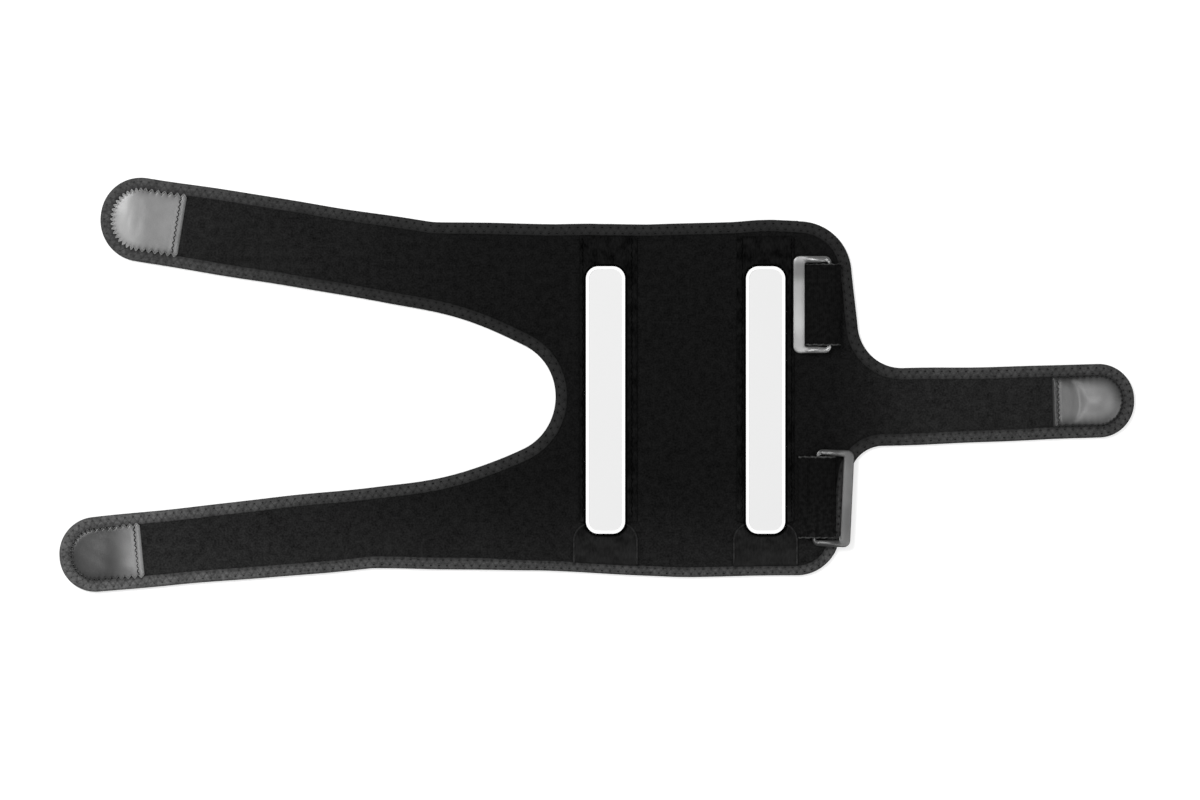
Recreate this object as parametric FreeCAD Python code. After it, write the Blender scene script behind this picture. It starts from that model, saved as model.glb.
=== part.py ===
"""Knee brace laid open: a padded wrap with two long straps, one short strap and two flat stays.

Millimetres, +Z up, skin side up. The origin is on the underside of the wrap, midway between
the two stays. +X runs towards the short middle strap, +Y towards the upper strap.
The wrap is a laminate of cover, foam and lining with a bound edge. It folds along straight
lines, so every layer is cut there into one piece per moving body.
"""
import FreeCAD, Part
import os
from math import atan2, cos, degrees, hypot, pi, radians, sin, tan

# ---------------------------------------------------------------- driving dimensions
# Laminate, from the floor up
COVER = 0.8                 # outer loop-pile cover
FOAM = 2.0                  # foam core
LINING = 0.8                # brushed lining on the skin side
TAPE = 0.6                  # binding tape
TAPE_WIDTH = 8.5            # how far the tape reaches in from the edge
FOLD_GAP = 0.3              # free gap between two bodies at a fold line

# Panel outline
PANEL_HEIGHT = 257.8
EDGE_SAG = 1.0              # the long top and bottom edges both lie this much lower
TOP_DIP_X = -60.0           # lowest place of the top edge
TOP_LEANS = (1.2, -0.85)    # degrees, right and left of the dip
BOTTOM_SAG_X = -4.0         # lowest place of the bottom edge
BOTTOM_LEANS = (1.5, -3.25)
BOTTOM_STEP_X = -106.0      # where the bottom edge levels out towards the lower strap
BOTTOM_STEP_LEAN = -0.4
WAIST_X = 131.0             # both right edges aim at this point on the centre line
RIGHT_LEAN_UPPER = 5.7      # degrees off the vertical
RIGHT_LEAN_LOWER = 11.2
CORNER_UPPER = 39.0         # round of the upper right corner
CORNER_LOWER = 30.0
THROAT_UPPER = 33.0         # inner rounds where the middle strap leaves the panel
THROAT_LOWER = 25.0
EDGE_EASE = 300.0           # round of the barely bent long edges
ROOT_EASE = 60.0            # round where a left strap leaves the panel edge

# Kneecap notch between the two left straps
NOTCH_X = -97.0             # bottom of the notch
NOTCH_Y = 2.0
NOTCH_RADIUS = 44.0
NOTCH_FLARE = 26.0          # degrees that each side opens away from the notch axis
SHOULDER_RADIUS = 276.0

# Straps: width at the root fold, reach from root fold to tip, heading, narrowing
LEFT_ROOT_X = -186.0
UPPER_WIDTH, UPPER_REACH, UPPER_HEADING, UPPER_TAPER = 63.5, 244.0, 170.8, 0.6
LOWER_WIDTH, LOWER_REACH, LOWER_HEADING, LOWER_TAPER = 60.4, 272.0, 185.5, 1.4
UPPER_RISE = 0.7            # strap's outer edge above the panel's edge at the root fold
LOWER_RISE = 9.4
LEFT_BEND = 118.0           # root fold to the fold in mid strap
MIDDLE_ROOT_X, MIDDLE_ROOT_Y = 149.0, -5.2
MIDDLE_WIDTH, MIDDLE_REACH, MIDDLE_HEADING, MIDDLE_TAPER = 56.0, 179.1, 1.65, 0.9
MIDDLE_BEND = 81.0
TIP_FLAT = 1.0              # short straight at the very tip of a strap
WING_FOLD_X = 30.0          # the panel folds at plus and minus this

# Stays and their pockets
STAY_X = 58.4               # centre of each stay, left and right
STAY_WIDTH, STAY_LENGTH, STAY_ROUND = 28.5, 195.0, 9.0
STAY_FACE = 0.9             # raised face above the flange
STAY_RIM = 0.3              # rim above the face
STAY_RIM_WIDTH = 2.2
FLANGE = 1.5                # hidden flange beside the face
FLANGE_THICK = 0.8
POCKET_SIDE = 6.75          # band beside the stay's face
POCKET_BACK = 0.9           # backing cloth under the stay
RAIL_LIP = 0.6              # cloth over the flange
RAIL_MARGIN = 3.0           # flat sewing margin outside each rail
RAIL_END = 3.0              # closed top end of the channel
CLEAR = 0.3                 # running clearance of a moving piece
POCKET_FLAP_GAP = 0.7       # between the pocket's mouth and the flap

# Tuck flaps at the pocket mouths
FLAP_SIDE = 2.5             # flap beyond the band on each side
FLAP_THICK, FLAP_ROUND = 0.6, 10.0
FLAP_OVERLAP = 8.0          # how far the flap reaches up beside the stay's end
FLAP_SEAM_GAP = 0.9         # from the edge tape to the flap's seam
FLAP_NOTCH_CLEAR = 0.4

# Rings and webbing keepers
RING_INNER = 61.0           # slot length, along Y
RING_ARM = 5.0              # width of each arm
RING_BAR = 8.6              # broad exposed bar
RING_PIN = 3.0              # thin bar inside the keeper
RING_SLOT = 16.4            # slot width, across the bars
RING_THICK = 2.6
RING_ROUND = 5.0
RING_EDGE = 1.1             # rounding of the ring's edges
WEBBING = 0.9
KEEPER_SIDE_GAP = 1.1       # webbing's edge to the ring's arm
KEEPER_SEWN = 5.0           # sewn flat at the fixed end
KEEPER_HUMP = 3.4           # half width of the level top over the pin
PIN_ROOM = 1.85             # pin axis to webbing
UPPER_RING_Y, LOWER_RING_Y = 69.6, -71.0
UPPER_RING_SKEW, LOWER_RING_SKEW = 0.0, -2.7    # degrees that a ring lies askew
RING_RAIL_GAP = 2.1         # turned-back ring to the pocket's rail
UPPER_SEWN_GAP = 0.1        # turned-back broad bar to its keeper's sewn end
UPPER_FOLD = 8.5            # pin axis to the upper keeper's fold
FLAP_KEEPER_GAP = 0.5       # flap to the lower keeper's sewn end
LOWER_PIN = 12.8            # lower keeper's sewn end to its pin axis
LOWER_FOLD_GAP = 3.2        # lower keeper's fold to the broad bar

# Pull tabs on the skin side and hook pads on the cover side of each strap tip
TAB_REACH = 60.5            # tip of the strap to the tab's straight edge
TAB_ON_TAPE = 1.0           # the tab laps this far over the edge tape
TAB_THICK = 1.0
HOOK_REACH = 78.0
HOOK_MARGIN = 2.0           # cover left between the tape and a hook pad

FAR = 600.0                 # longer than the whole wrap

# ---------------------------------------------------------------- derived levels
V = FreeCAD.Vector
TOP = COVER + FOAM + LINING
FOAM_TOP = COVER + FOAM
SQUEEZE = (TOP - 2 * TAPE) / 3          # each layer's thickness inside the tape
BACK_TOP = TOP + POCKET_BACK
STAY_BOTTOM = BACK_TOP + CLEAR
FLANGE_TOP = STAY_BOTTOM + FLANGE_THICK
STAY_TOP = FLANGE_TOP + STAY_FACE
LIP_BOTTOM = FLANGE_TOP + CLEAR
RAIL_TOP = LIP_BOTTOM + RAIL_LIP
FLAP_BOTTOM = TOP + CLEAR
PIN_Z = TOP + WEBBING + PIN_ROOM

# ---------------------------------------------------------------- derived places
TOP_Y = PANEL_HEIGHT / 2
BOTTOM_Y = -PANEL_HEIGHT / 2
POCKET_HALF = STAY_WIDTH / 2 + POCKET_SIDE
RAIL_HALF = POCKET_HALF - RAIL_MARGIN
FLAP_HALF = POCKET_HALF + FLAP_SIDE
FLAP_TOP_Y = FLAP_OVERLAP - STAY_LENGTH / 2
FLAP_SEAM_Y = BOTTOM_Y + TAPE_WIDTH + FLAP_SEAM_GAP
SLOT_END = RING_PIN / 2 + RING_SLOT             # pin axis to the broad bar's inner face
RING_END = SLOT_END + RING_BAR
KEEPER_HALF = RING_INNER / 2 - KEEPER_SIDE_GAP


class Keeper:
    """Places along X of a keeper's sewn end, pin axis and fold, and its centre's Y."""

    def __init__(self, sewn, pin, fold, y):
        self.sewn, self.pin, self.fold, self.y = sewn, pin, fold, y


UPPER_PIN_X = STAY_X + RAIL_HALF + RING_RAIL_GAP + RING_END
UPPER_KEEPER = Keeper(UPPER_PIN_X - SLOT_END + UPPER_SEWN_GAP, UPPER_PIN_X,
                      UPPER_PIN_X + UPPER_FOLD, UPPER_RING_Y)
LOWER_SEWN_X = STAY_X + FLAP_HALF + FLAP_KEEPER_GAP
LOWER_PIN_X = LOWER_SEWN_X + LOWER_PIN
LOWER_KEEPER = Keeper(LOWER_SEWN_X, LOWER_PIN_X,
                      LOWER_PIN_X + SLOT_END - LOWER_FOLD_GAP, LOWER_RING_Y)


# ---------------------------------------------------------------- plane geometry
class Strap:
    """A strap's centre line, from its root fold outwards."""

    def __init__(self, x, y, width, reach, heading, taper, bend):
        self.x, self.y, self.width, self.reach = x, y, width, reach
        self.heading, self.taper, self.bend = heading, taper, bend

    def at(self, along, across=0.0):
        """Point so far along the strap and so far to the left of its heading."""
        turn = radians(self.heading)
        return (self.x + along * cos(turn) - across * sin(turn),
                self.y + along * sin(turn) + across * cos(turn))

    def edges(self):
        """The strap's three outline edges, anticlockwise, each with the round at its end."""
        tip_round = (self.width - self.reach * tan(radians(self.taper)) - TIP_FLAT) / 2
        right = (*self.at(0, -self.width / 2), self.heading + self.taper / 2, tip_round)
        end = (*self.at(self.reach), self.heading + 90, tip_round)
        left = (*self.at(0, self.width / 2), self.heading + 180 - self.taper / 2)
        return right, end, left


UPPER = Strap(LEFT_ROOT_X, TOP_Y - UPPER_WIDTH / 2 + UPPER_RISE,
              UPPER_WIDTH, UPPER_REACH, UPPER_HEADING, UPPER_TAPER, LEFT_BEND)
LOWER = Strap(LEFT_ROOT_X, BOTTOM_Y + LOWER_WIDTH / 2 + LOWER_RISE,
              LOWER_WIDTH, LOWER_REACH, LOWER_HEADING, LOWER_TAPER, LEFT_BEND)
MIDDLE = Strap(MIDDLE_ROOT_X, MIDDLE_ROOT_Y,
               MIDDLE_WIDTH, MIDDLE_REACH, MIDDLE_HEADING, MIDDLE_TAPER, MIDDLE_BEND)


def outline_edges():
    """The wrap's outline as straight edges (x, y, heading, round at the edge's end).

    They run anticlockwise, so the wrap lies to the left of each edge.
    """
    upper_right, upper_end, upper_left = UPPER.edges()
    lower_right, lower_end, lower_left = LOWER.edges()
    middle_right, middle_end, middle_left = MIDDLE.edges()
    apex = NOTCH_X + NOTCH_RADIUS * (1 / sin(radians(NOTCH_FLARE)) - 1)
    step_y = BOTTOM_Y - EDGE_SAG + (BOTTOM_STEP_X - BOTTOM_SAG_X) * tan(radians(BOTTOM_LEANS[1]))
    return [
        (TOP_DIP_X, TOP_Y - EDGE_SAG, 180 + TOP_LEANS[0], EDGE_EASE),
        (TOP_DIP_X, TOP_Y - EDGE_SAG, 180 + TOP_LEANS[1], ROOT_EASE),
        upper_right,
        upper_end,
        (*upper_left, SHOULDER_RADIUS),
        (apex, NOTCH_Y, -NOTCH_FLARE, NOTCH_RADIUS),
        (apex, NOTCH_Y, 180 + NOTCH_FLARE, SHOULDER_RADIUS),
        lower_right,
        lower_end,
        (*lower_left, ROOT_EASE),
        (BOTTOM_STEP_X, step_y, BOTTOM_STEP_LEAN, EDGE_EASE),
        (BOTTOM_SAG_X, BOTTOM_Y - EDGE_SAG, BOTTOM_LEANS[1], EDGE_EASE),
        (BOTTOM_SAG_X, BOTTOM_Y - EDGE_SAG, BOTTOM_LEANS[0], CORNER_LOWER),
        (WAIST_X, 0, 90 - RIGHT_LEAN_LOWER, THROAT_LOWER),
        middle_right,
        middle_end,
        (*middle_left, THROAT_UPPER),
        (WAIST_X, 0, 90 + RIGHT_LEAN_UPPER, CORNER_UPPER),
    ]


def meet(first, second):
    """Where two edges' lines cross."""
    ax, ay = cos(radians(first[2])), sin(radians(first[2]))
    bx, by = cos(radians(second[2])), sin(radians(second[2]))
    dx, dy = second[0] - first[0], second[1] - first[1]
    step = (dx * by - dy * bx) / (ax * by - ay * bx)
    return first[0] + step * ax, first[1] + step * ay


def turn_between(first, second):
    """Signed turn in radians, positive to the left."""
    return (radians(second[2] - first[2]) + pi) % (2 * pi) - pi


def rounded_corners(edges):
    """Each edge's end corner as (x, y, round), with rounds that two edges have room for."""
    count = len(edges)
    after = [edges[(i + 1) % count] for i in range(count)]
    points = [meet(e, n) for e, n in zip(edges, after)]
    grip = [tan(abs(turn_between(e, n)) / 2) for e, n in zip(edges, after)]
    rounds = [e[3] for e in edges]
    for i in range(count):
        before = i - 1
        length = hypot(points[i][0] - points[before][0], points[i][1] - points[before][1])
        used = rounds[i] * grip[i] + rounds[before] * grip[before]
        if used > length:
            rounds[i] *= 0.999 * length / used
            rounds[before] *= 0.999 * length / used
    return [(x, y, r) for (x, y), r in zip(points, rounds)]


def inset_edges(edges, inset):
    """The same outline moved in by inset: convex rounds shrink, hollow ones grow."""
    moved = []
    rounds = [corner[2] for corner in rounded_corners(edges)]
    for i, (x, y, heading, _) in enumerate(edges):
        after = edges[(i + 1) % len(edges)]
        side = 1 if turn_between(edges[i], after) > 0 else -1
        left = radians(heading + 90)
        moved.append((x + inset * cos(left), y + inset * sin(left), heading,
                      rounds[i] - side * inset))
    return moved


def face_inside(edges):
    """A plane face at Z 0 inside a closed chain of rounded edges."""
    corners = rounded_corners(edges)
    pieces = []
    spans = []
    for i, (x, y, radius) in enumerate(corners):
        heading = radians(edges[i][2])
        turn = turn_between(edges[i], edges[(i + 1) % len(edges)])
        reach = radius * tan(abs(turn) / 2)
        start = V(x - reach * cos(heading), y - reach * sin(heading))
        leave = heading + turn
        end = V(x + reach * cos(leave), y + reach * sin(leave))
        bisector = heading + (turn + pi) / 2 if turn > 0 else heading + (turn - pi) / 2
        depth = radius * (1 / cos(turn / 2) - 1)
        spans.append((start, V(x + depth * cos(bisector), y + depth * sin(bisector)), end))
    for i, (start, middle, end) in enumerate(spans):
        pieces.append(Part.LineSegment(spans[i - 1][2], start).toShape())
        pieces.append(Part.Arc(start, middle, end).toShape())
    return Part.Face(Part.Wire(pieces))


def prism(face, low, high):
    """The face as a plate from one height to another."""
    return face.translated(V(0, 0, low)).extrude(V(0, 0, high - low))


def block(x, y, z):
    """A box from three (low, high) pairs."""
    return Part.makeBox(x[1] - x[0], y[1] - y[0], z[1] - z[0], V(x[0], y[0], z[0]))


def rounded_bar(x, y, z, radius):
    """A box with round corners in plan, from three (low, high) pairs."""
    edges = [(x[0], y[0], 0, radius), (x[1], y[0], 90, radius),
             (x[1], y[1], 180, radius), (x[0], y[1], 270, radius)]
    return prism(face_inside(edges), z[0], z[1])


# ---------------------------------------------------------------- zones of the bodies
def strap_zone(strap, start, end):
    """All that lies from start to end along a strap, as a tall block."""
    half = strap.width
    zone = block((start, end), (-half, half), (-FAR, FAR))
    zone.rotate(V(0, 0, 0), V(0, 0, 1), strap.heading)
    return zone.translated(V(strap.x, strap.y, 0))


def body_zones():
    """Each body's share of the wrap, a free gap apart at the fold lines."""
    half = FOLD_GAP / 2
    tall = (-FAR, FAR)
    left = block((-FAR, -WING_FOLD_X - half), tall, tall)
    left = left.cut([strap_zone(UPPER, -half, FAR), strap_zone(LOWER, -half, FAR)])
    right = block((WING_FOLD_X + half, FAR), tall, tall)
    zones = {
        "centre_panel": block((-WING_FOLD_X + half, WING_FOLD_X - half), tall, tall),
        "left_wing": left,
        "right_wing": right.cut(strap_zone(MIDDLE, -half, FAR)),
    }
    for name, strap in (("upper", UPPER), ("lower", LOWER), ("middle", MIDDLE)):
        zones[name + "_strap"] = strap_zone(strap, half, strap.bend - half)
        zones[name + "_tip"] = strap_zone(strap, strap.bend + half, FAR)
    return zones


# ---------------------------------------------------------------- the laminate
def stepped_sheet(full, margin, inner_levels, margin_levels):
    """One layer: full thickness inside the tape, squeezed thinner between its legs."""
    rim = prism(margin.cut(full), *margin_levels)
    return prism(full, *inner_levels).fuse(rim)


def laminate():
    """Whole sheets of the wrap before they are cut at the fold lines."""
    edges = outline_edges()
    outer = face_inside(edges)
    under_tape = face_inside(inset_edges(edges, TAPE))
    full = face_inside(inset_edges(edges, TAPE_WIDTH))
    steps = [TAPE + i * SQUEEZE for i in range(4)]
    cover = stepped_sheet(full, under_tape, (0, COVER), (steps[0], steps[1]))
    foam = stepped_sheet(full, under_tape, (COVER, FOAM_TOP), (steps[1], steps[2]))
    lining = stepped_sheet(full, under_tape, (FOAM_TOP, TOP), (steps[2], steps[3]))
    tape = prism(outer.cut(full), 0, TOP).cut(prism(under_tape.cut(full), TAPE, TOP - TAPE))
    return {"cover": cover, "foam": foam, "lining": lining, "edge_tape": tape}


def tip_patch(strap, inset, reach):
    """Plan shape of a patch that follows a strap's tip."""
    face = face_inside(inset_edges(outline_edges(), inset))
    return face.common(strap_zone(strap, strap.reach - reach, FAR))


# ---------------------------------------------------------------- stays, pockets, flaps
def stay(side):
    """Flat stay: a hidden flange, a raised face and a rim round the face."""
    x = side * STAY_X
    half, end = STAY_WIDTH / 2, STAY_LENGTH / 2

    def plate(grow, levels):
        return rounded_bar((x - half - grow, x + half + grow), (-end - grow, end + grow),
                           levels, STAY_ROUND + grow)

    body = plate(FLANGE, (STAY_BOTTOM, FLANGE_TOP)).fuse(plate(0, (FLANGE_TOP, STAY_TOP)))
    rim = plate(0, (STAY_TOP, STAY_TOP + STAY_RIM))
    rim = rim.cut(plate(-STAY_RIM_WIDTH, (STAY_TOP, STAY_TOP + STAY_RIM)))
    return body.fuse(rim).removeSplitter()


def pocket(side):
    """Sewn band with two rails that hold the stay's flange, open at the flap."""
    x = side * STAY_X
    half, end = STAY_WIDTH / 2, STAY_LENGTH / 2
    mouth = FLAP_TOP_Y + POCKET_FLAP_GAP
    head = end + FLANGE + CLEAR + RAIL_END
    band_end = TOP_Y - EDGE_SAG - TAPE_WIDTH
    band = block((x - POCKET_HALF, x + POCKET_HALF), (mouth, band_end), (TOP, BACK_TOP))
    rails = rounded_bar((x - RAIL_HALF, x + RAIL_HALF), (mouth - FAR, head),
                        (BACK_TOP, RAIL_TOP), STAY_ROUND + FLANGE + RAIL_END)
    rails = rails.cut(block((-FAR, FAR), (-2 * FAR, mouth), (0, RAIL_TOP + 1)))
    room = FLANGE + CLEAR
    channel = rounded_bar((x - half - room, x + half + room), (-FAR, end + room),
                          (BACK_TOP, LIP_BOTTOM), STAY_ROUND + room)
    window = rounded_bar((x - half - CLEAR, x + half + CLEAR), (-FAR, end + CLEAR),
                         (LIP_BOTTOM, RAIL_TOP), STAY_ROUND + CLEAR)
    return band.fuse(rails.cut([channel, window])).removeSplitter()


def flap(side):
    """Tuck flap at a pocket's mouth, cut out round the stay's end."""
    x = side * STAY_X
    levels = (FLAP_BOTTOM, FLAP_BOTTOM + FLAP_THICK)
    tongue = rounded_bar((x - FLAP_HALF, x + FLAP_HALF), (FLAP_SEAM_Y - FAR, FLAP_TOP_Y),
                         levels, FLAP_ROUND)
    tongue = tongue.cut(block((-FAR, FAR), (-2 * FAR, FLAP_SEAM_Y), levels))
    room = FLANGE + FLAP_NOTCH_CLEAR
    stay_half, stay_end = STAY_WIDTH / 2 + room, STAY_LENGTH / 2 + room
    return tongue.cut(rounded_bar((x - stay_half, x + stay_half), (-stay_end, stay_end),
                                  levels, STAY_ROUND + room))


# ---------------------------------------------------------------- rings and keepers
def ring(keeper, facing, skew, seat):
    """Rectangular ring on its thin bar, its broad bar down on the seat height.

    facing is +1 outwards (+X) or -1 turned back.
    """
    pin_half, half = RING_PIN / 2, RING_INNER / 2
    level = (-RING_THICK / 2, RING_THICK / 2)
    frame = rounded_bar((-pin_half, RING_END), (-half - RING_ARM, half + RING_ARM),
                        level, RING_ROUND)
    slot = rounded_bar((pin_half, SLOT_END), (-half, half), level, RING_EDGE)
    frame = frame.cut(slot)
    frame = frame.makeFillet(RING_EDGE, [e for e in frame.Edges if is_level(e)])
    drop = PIN_Z - RING_THICK / 2 - seat - CLEAR
    frame.rotate(V(0, 0, 0), V(0, 1, 0), degrees(atan2(drop, RING_END)))
    if facing < 0:
        frame.rotate(V(0, 0, 0), V(0, 0, 1), 180)
    frame.rotate(V(0, 0, 0), V(0, 0, 1), skew)
    return frame.translated(V(keeper.pin, keeper.y, PIN_Z))


def is_level(edge):
    """True for an edge that lies in one horizontal plane."""
    box = edge.BoundBox
    return box.ZLength < 1e-6


def keeper_loop(keeper):
    """Webbing folded round the ring's thin bar, both ends sewn down together."""
    sewn, pin, fold = keeper.sewn, keeper.pin, keeper.fold
    low, high = TOP, PIN_Z + PIN_ROOM + WEBBING
    flat = TOP + 2 * WEBBING
    nose = PIN_Z + WEBBING / 2

    def section(points):
        ring_of = [V(px, keeper.y - KEEPER_HALF, pz) for px, pz in points]
        return Part.Face(Part.makePolygon(ring_of + ring_of[:1]))

    outer = section([(sewn, low), (fold - WEBBING, low), (fold, low + WEBBING), (fold, nose),
                     (pin + KEEPER_HUMP, high), (pin - KEEPER_HUMP, high),
                     (sewn + KEEPER_SEWN, flat), (sewn, flat)])
    inner = section([(sewn + KEEPER_SEWN + WEBBING, low + WEBBING),
                     (fold - WEBBING, low + WEBBING), (fold - WEBBING, nose - WEBBING),
                     (pin + KEEPER_HUMP, high - WEBBING), (pin - KEEPER_HUMP, high - WEBBING)])
    return outer.cut(inner).extrude(V(0, 2 * KEEPER_HALF, 0))


# ---------------------------------------------------------------- all nodes
def build():
    """Every node's shape by name."""
    nodes = {}
    zones = body_zones()
    sheets = laminate()
    for strap_name, strap in (("upper", UPPER), ("lower", LOWER), ("middle", MIDDLE)):
        tab = tip_patch(strap, TAPE_WIDTH - TAB_ON_TAPE, TAB_REACH)
        nodes[strap_name + "_pull_tab"] = prism(tab, TOP, TOP + TAB_THICK)
        pad = prism(tip_patch(strap, TAPE_WIDTH + HOOK_MARGIN, HOOK_REACH), 0, COVER)
        nodes[strap_name + "_hook_pad"] = pad
        sheets["cover"] = sheets["cover"].cut(pad)
    for layer, sheet in sheets.items():
        for body, zone in zones.items():
            nodes[body + "_" + layer] = sheet.common(zone)
    for name, side in (("left", -1), ("right", 1)):
        nodes[name + "_stay"] = stay(side)
        nodes[name + "_stay_pocket"] = pocket(side)
        nodes[name + "_tuck_flap"] = flap(side)
    nodes["upper_ring"] = ring(UPPER_KEEPER, -1, UPPER_RING_SKEW, BACK_TOP)
    nodes["lower_ring"] = ring(LOWER_KEEPER, 1, LOWER_RING_SKEW, TOP)
    nodes["upper_keeper"] = keeper_loop(UPPER_KEEPER)
    nodes["lower_keeper"] = keeper_loop(LOWER_KEEPER)
    return nodes


os.makedirs("parts", exist_ok=True)
for node, shape in build().items():
    shape.exportStep("parts/" + node + ".step")
    print(f"{node:28s} solids {len(shape.Solids)}  volume {shape.Volume:10.1f}  valid {shape.isValid()}")
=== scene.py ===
# %% [markdown]
# # Knee brace: a flat foam wrap with three hook straps, two stays and two rings
# The wrap is a laminate: loop cloth below, foam in the middle and a brushed lining on top.
# An edge tape is folded round its outline and sewn with a zigzag.
# The CAD frame gives every place and joint, and this file adds cloth, thread, metal and light.

# %% Frame
import bpy
import numpy as np
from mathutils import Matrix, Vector
from mathutils.geometry import delaunay_2d_cdt


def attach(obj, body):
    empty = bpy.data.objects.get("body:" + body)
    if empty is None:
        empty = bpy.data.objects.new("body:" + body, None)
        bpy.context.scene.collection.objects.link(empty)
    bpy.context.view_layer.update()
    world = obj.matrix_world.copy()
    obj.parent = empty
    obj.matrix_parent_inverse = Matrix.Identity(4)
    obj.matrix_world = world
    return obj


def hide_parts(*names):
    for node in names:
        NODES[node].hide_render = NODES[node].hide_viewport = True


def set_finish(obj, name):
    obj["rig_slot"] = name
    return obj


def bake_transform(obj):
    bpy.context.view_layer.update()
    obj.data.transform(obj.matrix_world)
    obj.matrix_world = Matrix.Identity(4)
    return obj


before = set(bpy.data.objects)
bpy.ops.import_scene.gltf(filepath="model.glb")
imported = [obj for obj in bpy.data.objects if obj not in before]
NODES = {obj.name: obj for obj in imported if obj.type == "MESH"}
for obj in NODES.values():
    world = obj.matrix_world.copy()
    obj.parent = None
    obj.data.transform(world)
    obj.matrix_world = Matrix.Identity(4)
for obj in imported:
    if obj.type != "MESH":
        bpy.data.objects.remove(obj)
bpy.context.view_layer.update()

# %% [markdown]
# ## Sizes
# All sizes below are in millimetres, and meshes turn them into metres once, where they are made.
# They are the CAD's own sizes, so that the cloth lies on the frame.
# The top and bottom hems both lie a little lower near the middle, which SAG stands for.

# %% Sizes
MM = 0.001
TOP = 3.6                       # height of the lining
TOP_Y, BOTTOM_Y, SAG = 128.9, -128.9, 1.0
# the notch between the long straps: its deepest point, its round and its sides' slope
NOTCH_X, NOTCH_Y, NOTCH_RADIUS, NOTCH_FLARE = -97.0, 2.0, 44.0, 26.0
# the bottom hem: where its two bends are, and the slope between them in degrees
HEM_MIDDLE_X, HEM_STEP_X, HEM_SLOPE = -4, -106, -3.25
# a stay's face: its distance from the middle, half width, half length and corner round
STAY_X, STAY_HALF, STAY_END, STAY_ROUND = 58.4, 14.25, 97.5, 9.0
# a pocket's band: half its width, its mouth and its upper end
BAND_HALF, MOUTH_Y, BAND_END = 21.0, -88.8, 119.4
# a tuck flap: its seam, the height where its foot begins, half width, top and shoulder round
SEAM_Y, FOOT_Y, FLAP_HALF, FLAP_TOP, FLAP_ROUND = -119.5, -114.0, 23.5, -89.5, 13.0
print("panel:", TOP_Y - BOTTOM_Y, "mm high, stays:", 2 * STAY_END, "mm long")

# %% [markdown]
# ## Straps
# Three straps leave the wrap: two long ones on the left and a short one on the right.
# Each is a tapered strip with a centre line, so any place on it is so far along and so far
# to its left. The same class gives its outline edges, and later its folds and pull tab.

# %% Straps
def turned(degrees):
    """Unit vector at that heading."""
    a = np.radians(degrees)
    return np.array([np.cos(a), np.sin(a)])


class Strap:
    """A strap's centre line, from its root fold outwards. Angles are in degrees."""

    def __init__(self, x, y, width, reach, heading, taper):
        self.root = np.array([x, y])
        self.width, self.reach = width, reach
        self.heading, self.taper = heading, taper

    def at(self, along, across=0.0):
        """Point so far along the strap and so far to its left."""
        ahead = turned(self.heading)
        return self.root + along * ahead + across * np.array([-ahead[1], ahead[0]])

    def along(self, points):
        """How far along the strap each point lies, and how far to its left."""
        ahead = turned(self.heading)
        off = np.asarray(points)[:, :2] - self.root
        return off @ ahead, off @ np.array([-ahead[1], ahead[0]])

    def edges(self):
        """The strap's three outline edges, each with the round at its end."""
        tip = (self.width - self.reach * np.tan(np.radians(self.taper)) - 1.0) / 2
        return ((*self.at(0, -self.width / 2), self.heading + self.taper / 2, tip),
                (*self.at(self.reach), self.heading + 90, tip),
                (*self.at(0, self.width / 2), self.heading + 180 - self.taper / 2))


UPPER = Strap(-186.0, TOP_Y - 63.5 / 2 + 0.7, 63.5, 244.0, 170.8, 0.6)
LOWER = Strap(-186.0, BOTTOM_Y + 60.4 / 2 + 9.4, 60.4, 272.0, 185.5, 1.4)
MIDDLE = Strap(149.0, -5.2, 56.0, 179.1, 1.65, 0.9)
for name, strap in (("upper", UPPER), ("lower", LOWER), ("middle", MIDDLE)):
    print(name, "strap:", strap.reach, "mm long,", strap.width, "mm wide at its root")

# %% [markdown]
# ## Outline
# The wrap is die cut, so its outline is straight runs joined by rounds.
# It could be drawn as a freehand curve, but lines and radii are what a cutting die has.
# Each edge is a point on it, its heading and the round at its end.

# %% Outline edges
def outline_edges():
    """The outline's edges (x, y, heading, round at the end), anticlockwise."""
    upper_right, upper_end, upper_left = UPPER.edges()
    lower_right, lower_end, lower_left = LOWER.edges()
    middle_right, middle_end, middle_left = MIDDLE.edges()
    apex = NOTCH_X + NOTCH_RADIUS * (1 / np.sin(np.radians(NOTCH_FLARE)) - 1)
    low_y = BOTTOM_Y - SAG
    step_y = low_y + (HEM_STEP_X - HEM_MIDDLE_X) * np.tan(np.radians(HEM_SLOPE))
    return [
        (-60, TOP_Y - SAG, 181.2, 300), (-60, TOP_Y - SAG, 179.15, 60),
        upper_right, upper_end, (*upper_left, 276),
        (apex, NOTCH_Y, -NOTCH_FLARE, NOTCH_RADIUS), (apex, NOTCH_Y, 180 + NOTCH_FLARE, 276),
        lower_right, lower_end, (*lower_left, 60),
        (HEM_STEP_X, step_y, -0.4, 300), (HEM_MIDDLE_X, low_y, HEM_SLOPE, 300),
        (HEM_MIDDLE_X, low_y, 1.5, 30), (131, 0, 78.8, 25),
        middle_right, middle_end, (*middle_left, 33), (131, 0, 95.7, 39),
    ]


print("outline:", len(outline_edges()), "edges")

# %% [markdown]
# The outline is then sampled at even steps, along its straight runs and round its rounds.
# Each sample keeps its point, the way in from the edge and the length run so far.
# Where two rounds need more room than their edge has, both are made smaller.

# %% Outline samples
def corner(first, second):
    """Where two edges meet, the signed turn there and its grip on the edges."""
    a, b = turned(first[2]), turned(second[2])
    d = np.array(second[:2]) - np.array(first[:2])
    step = (d[0] * b[1] - d[1] * b[0]) / (a[0] * b[1] - a[1] * b[0])
    turn = (np.radians(second[2] - first[2]) + np.pi) % (2 * np.pi) - np.pi
    return np.array(first[:2]) + step * a, turn


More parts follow.
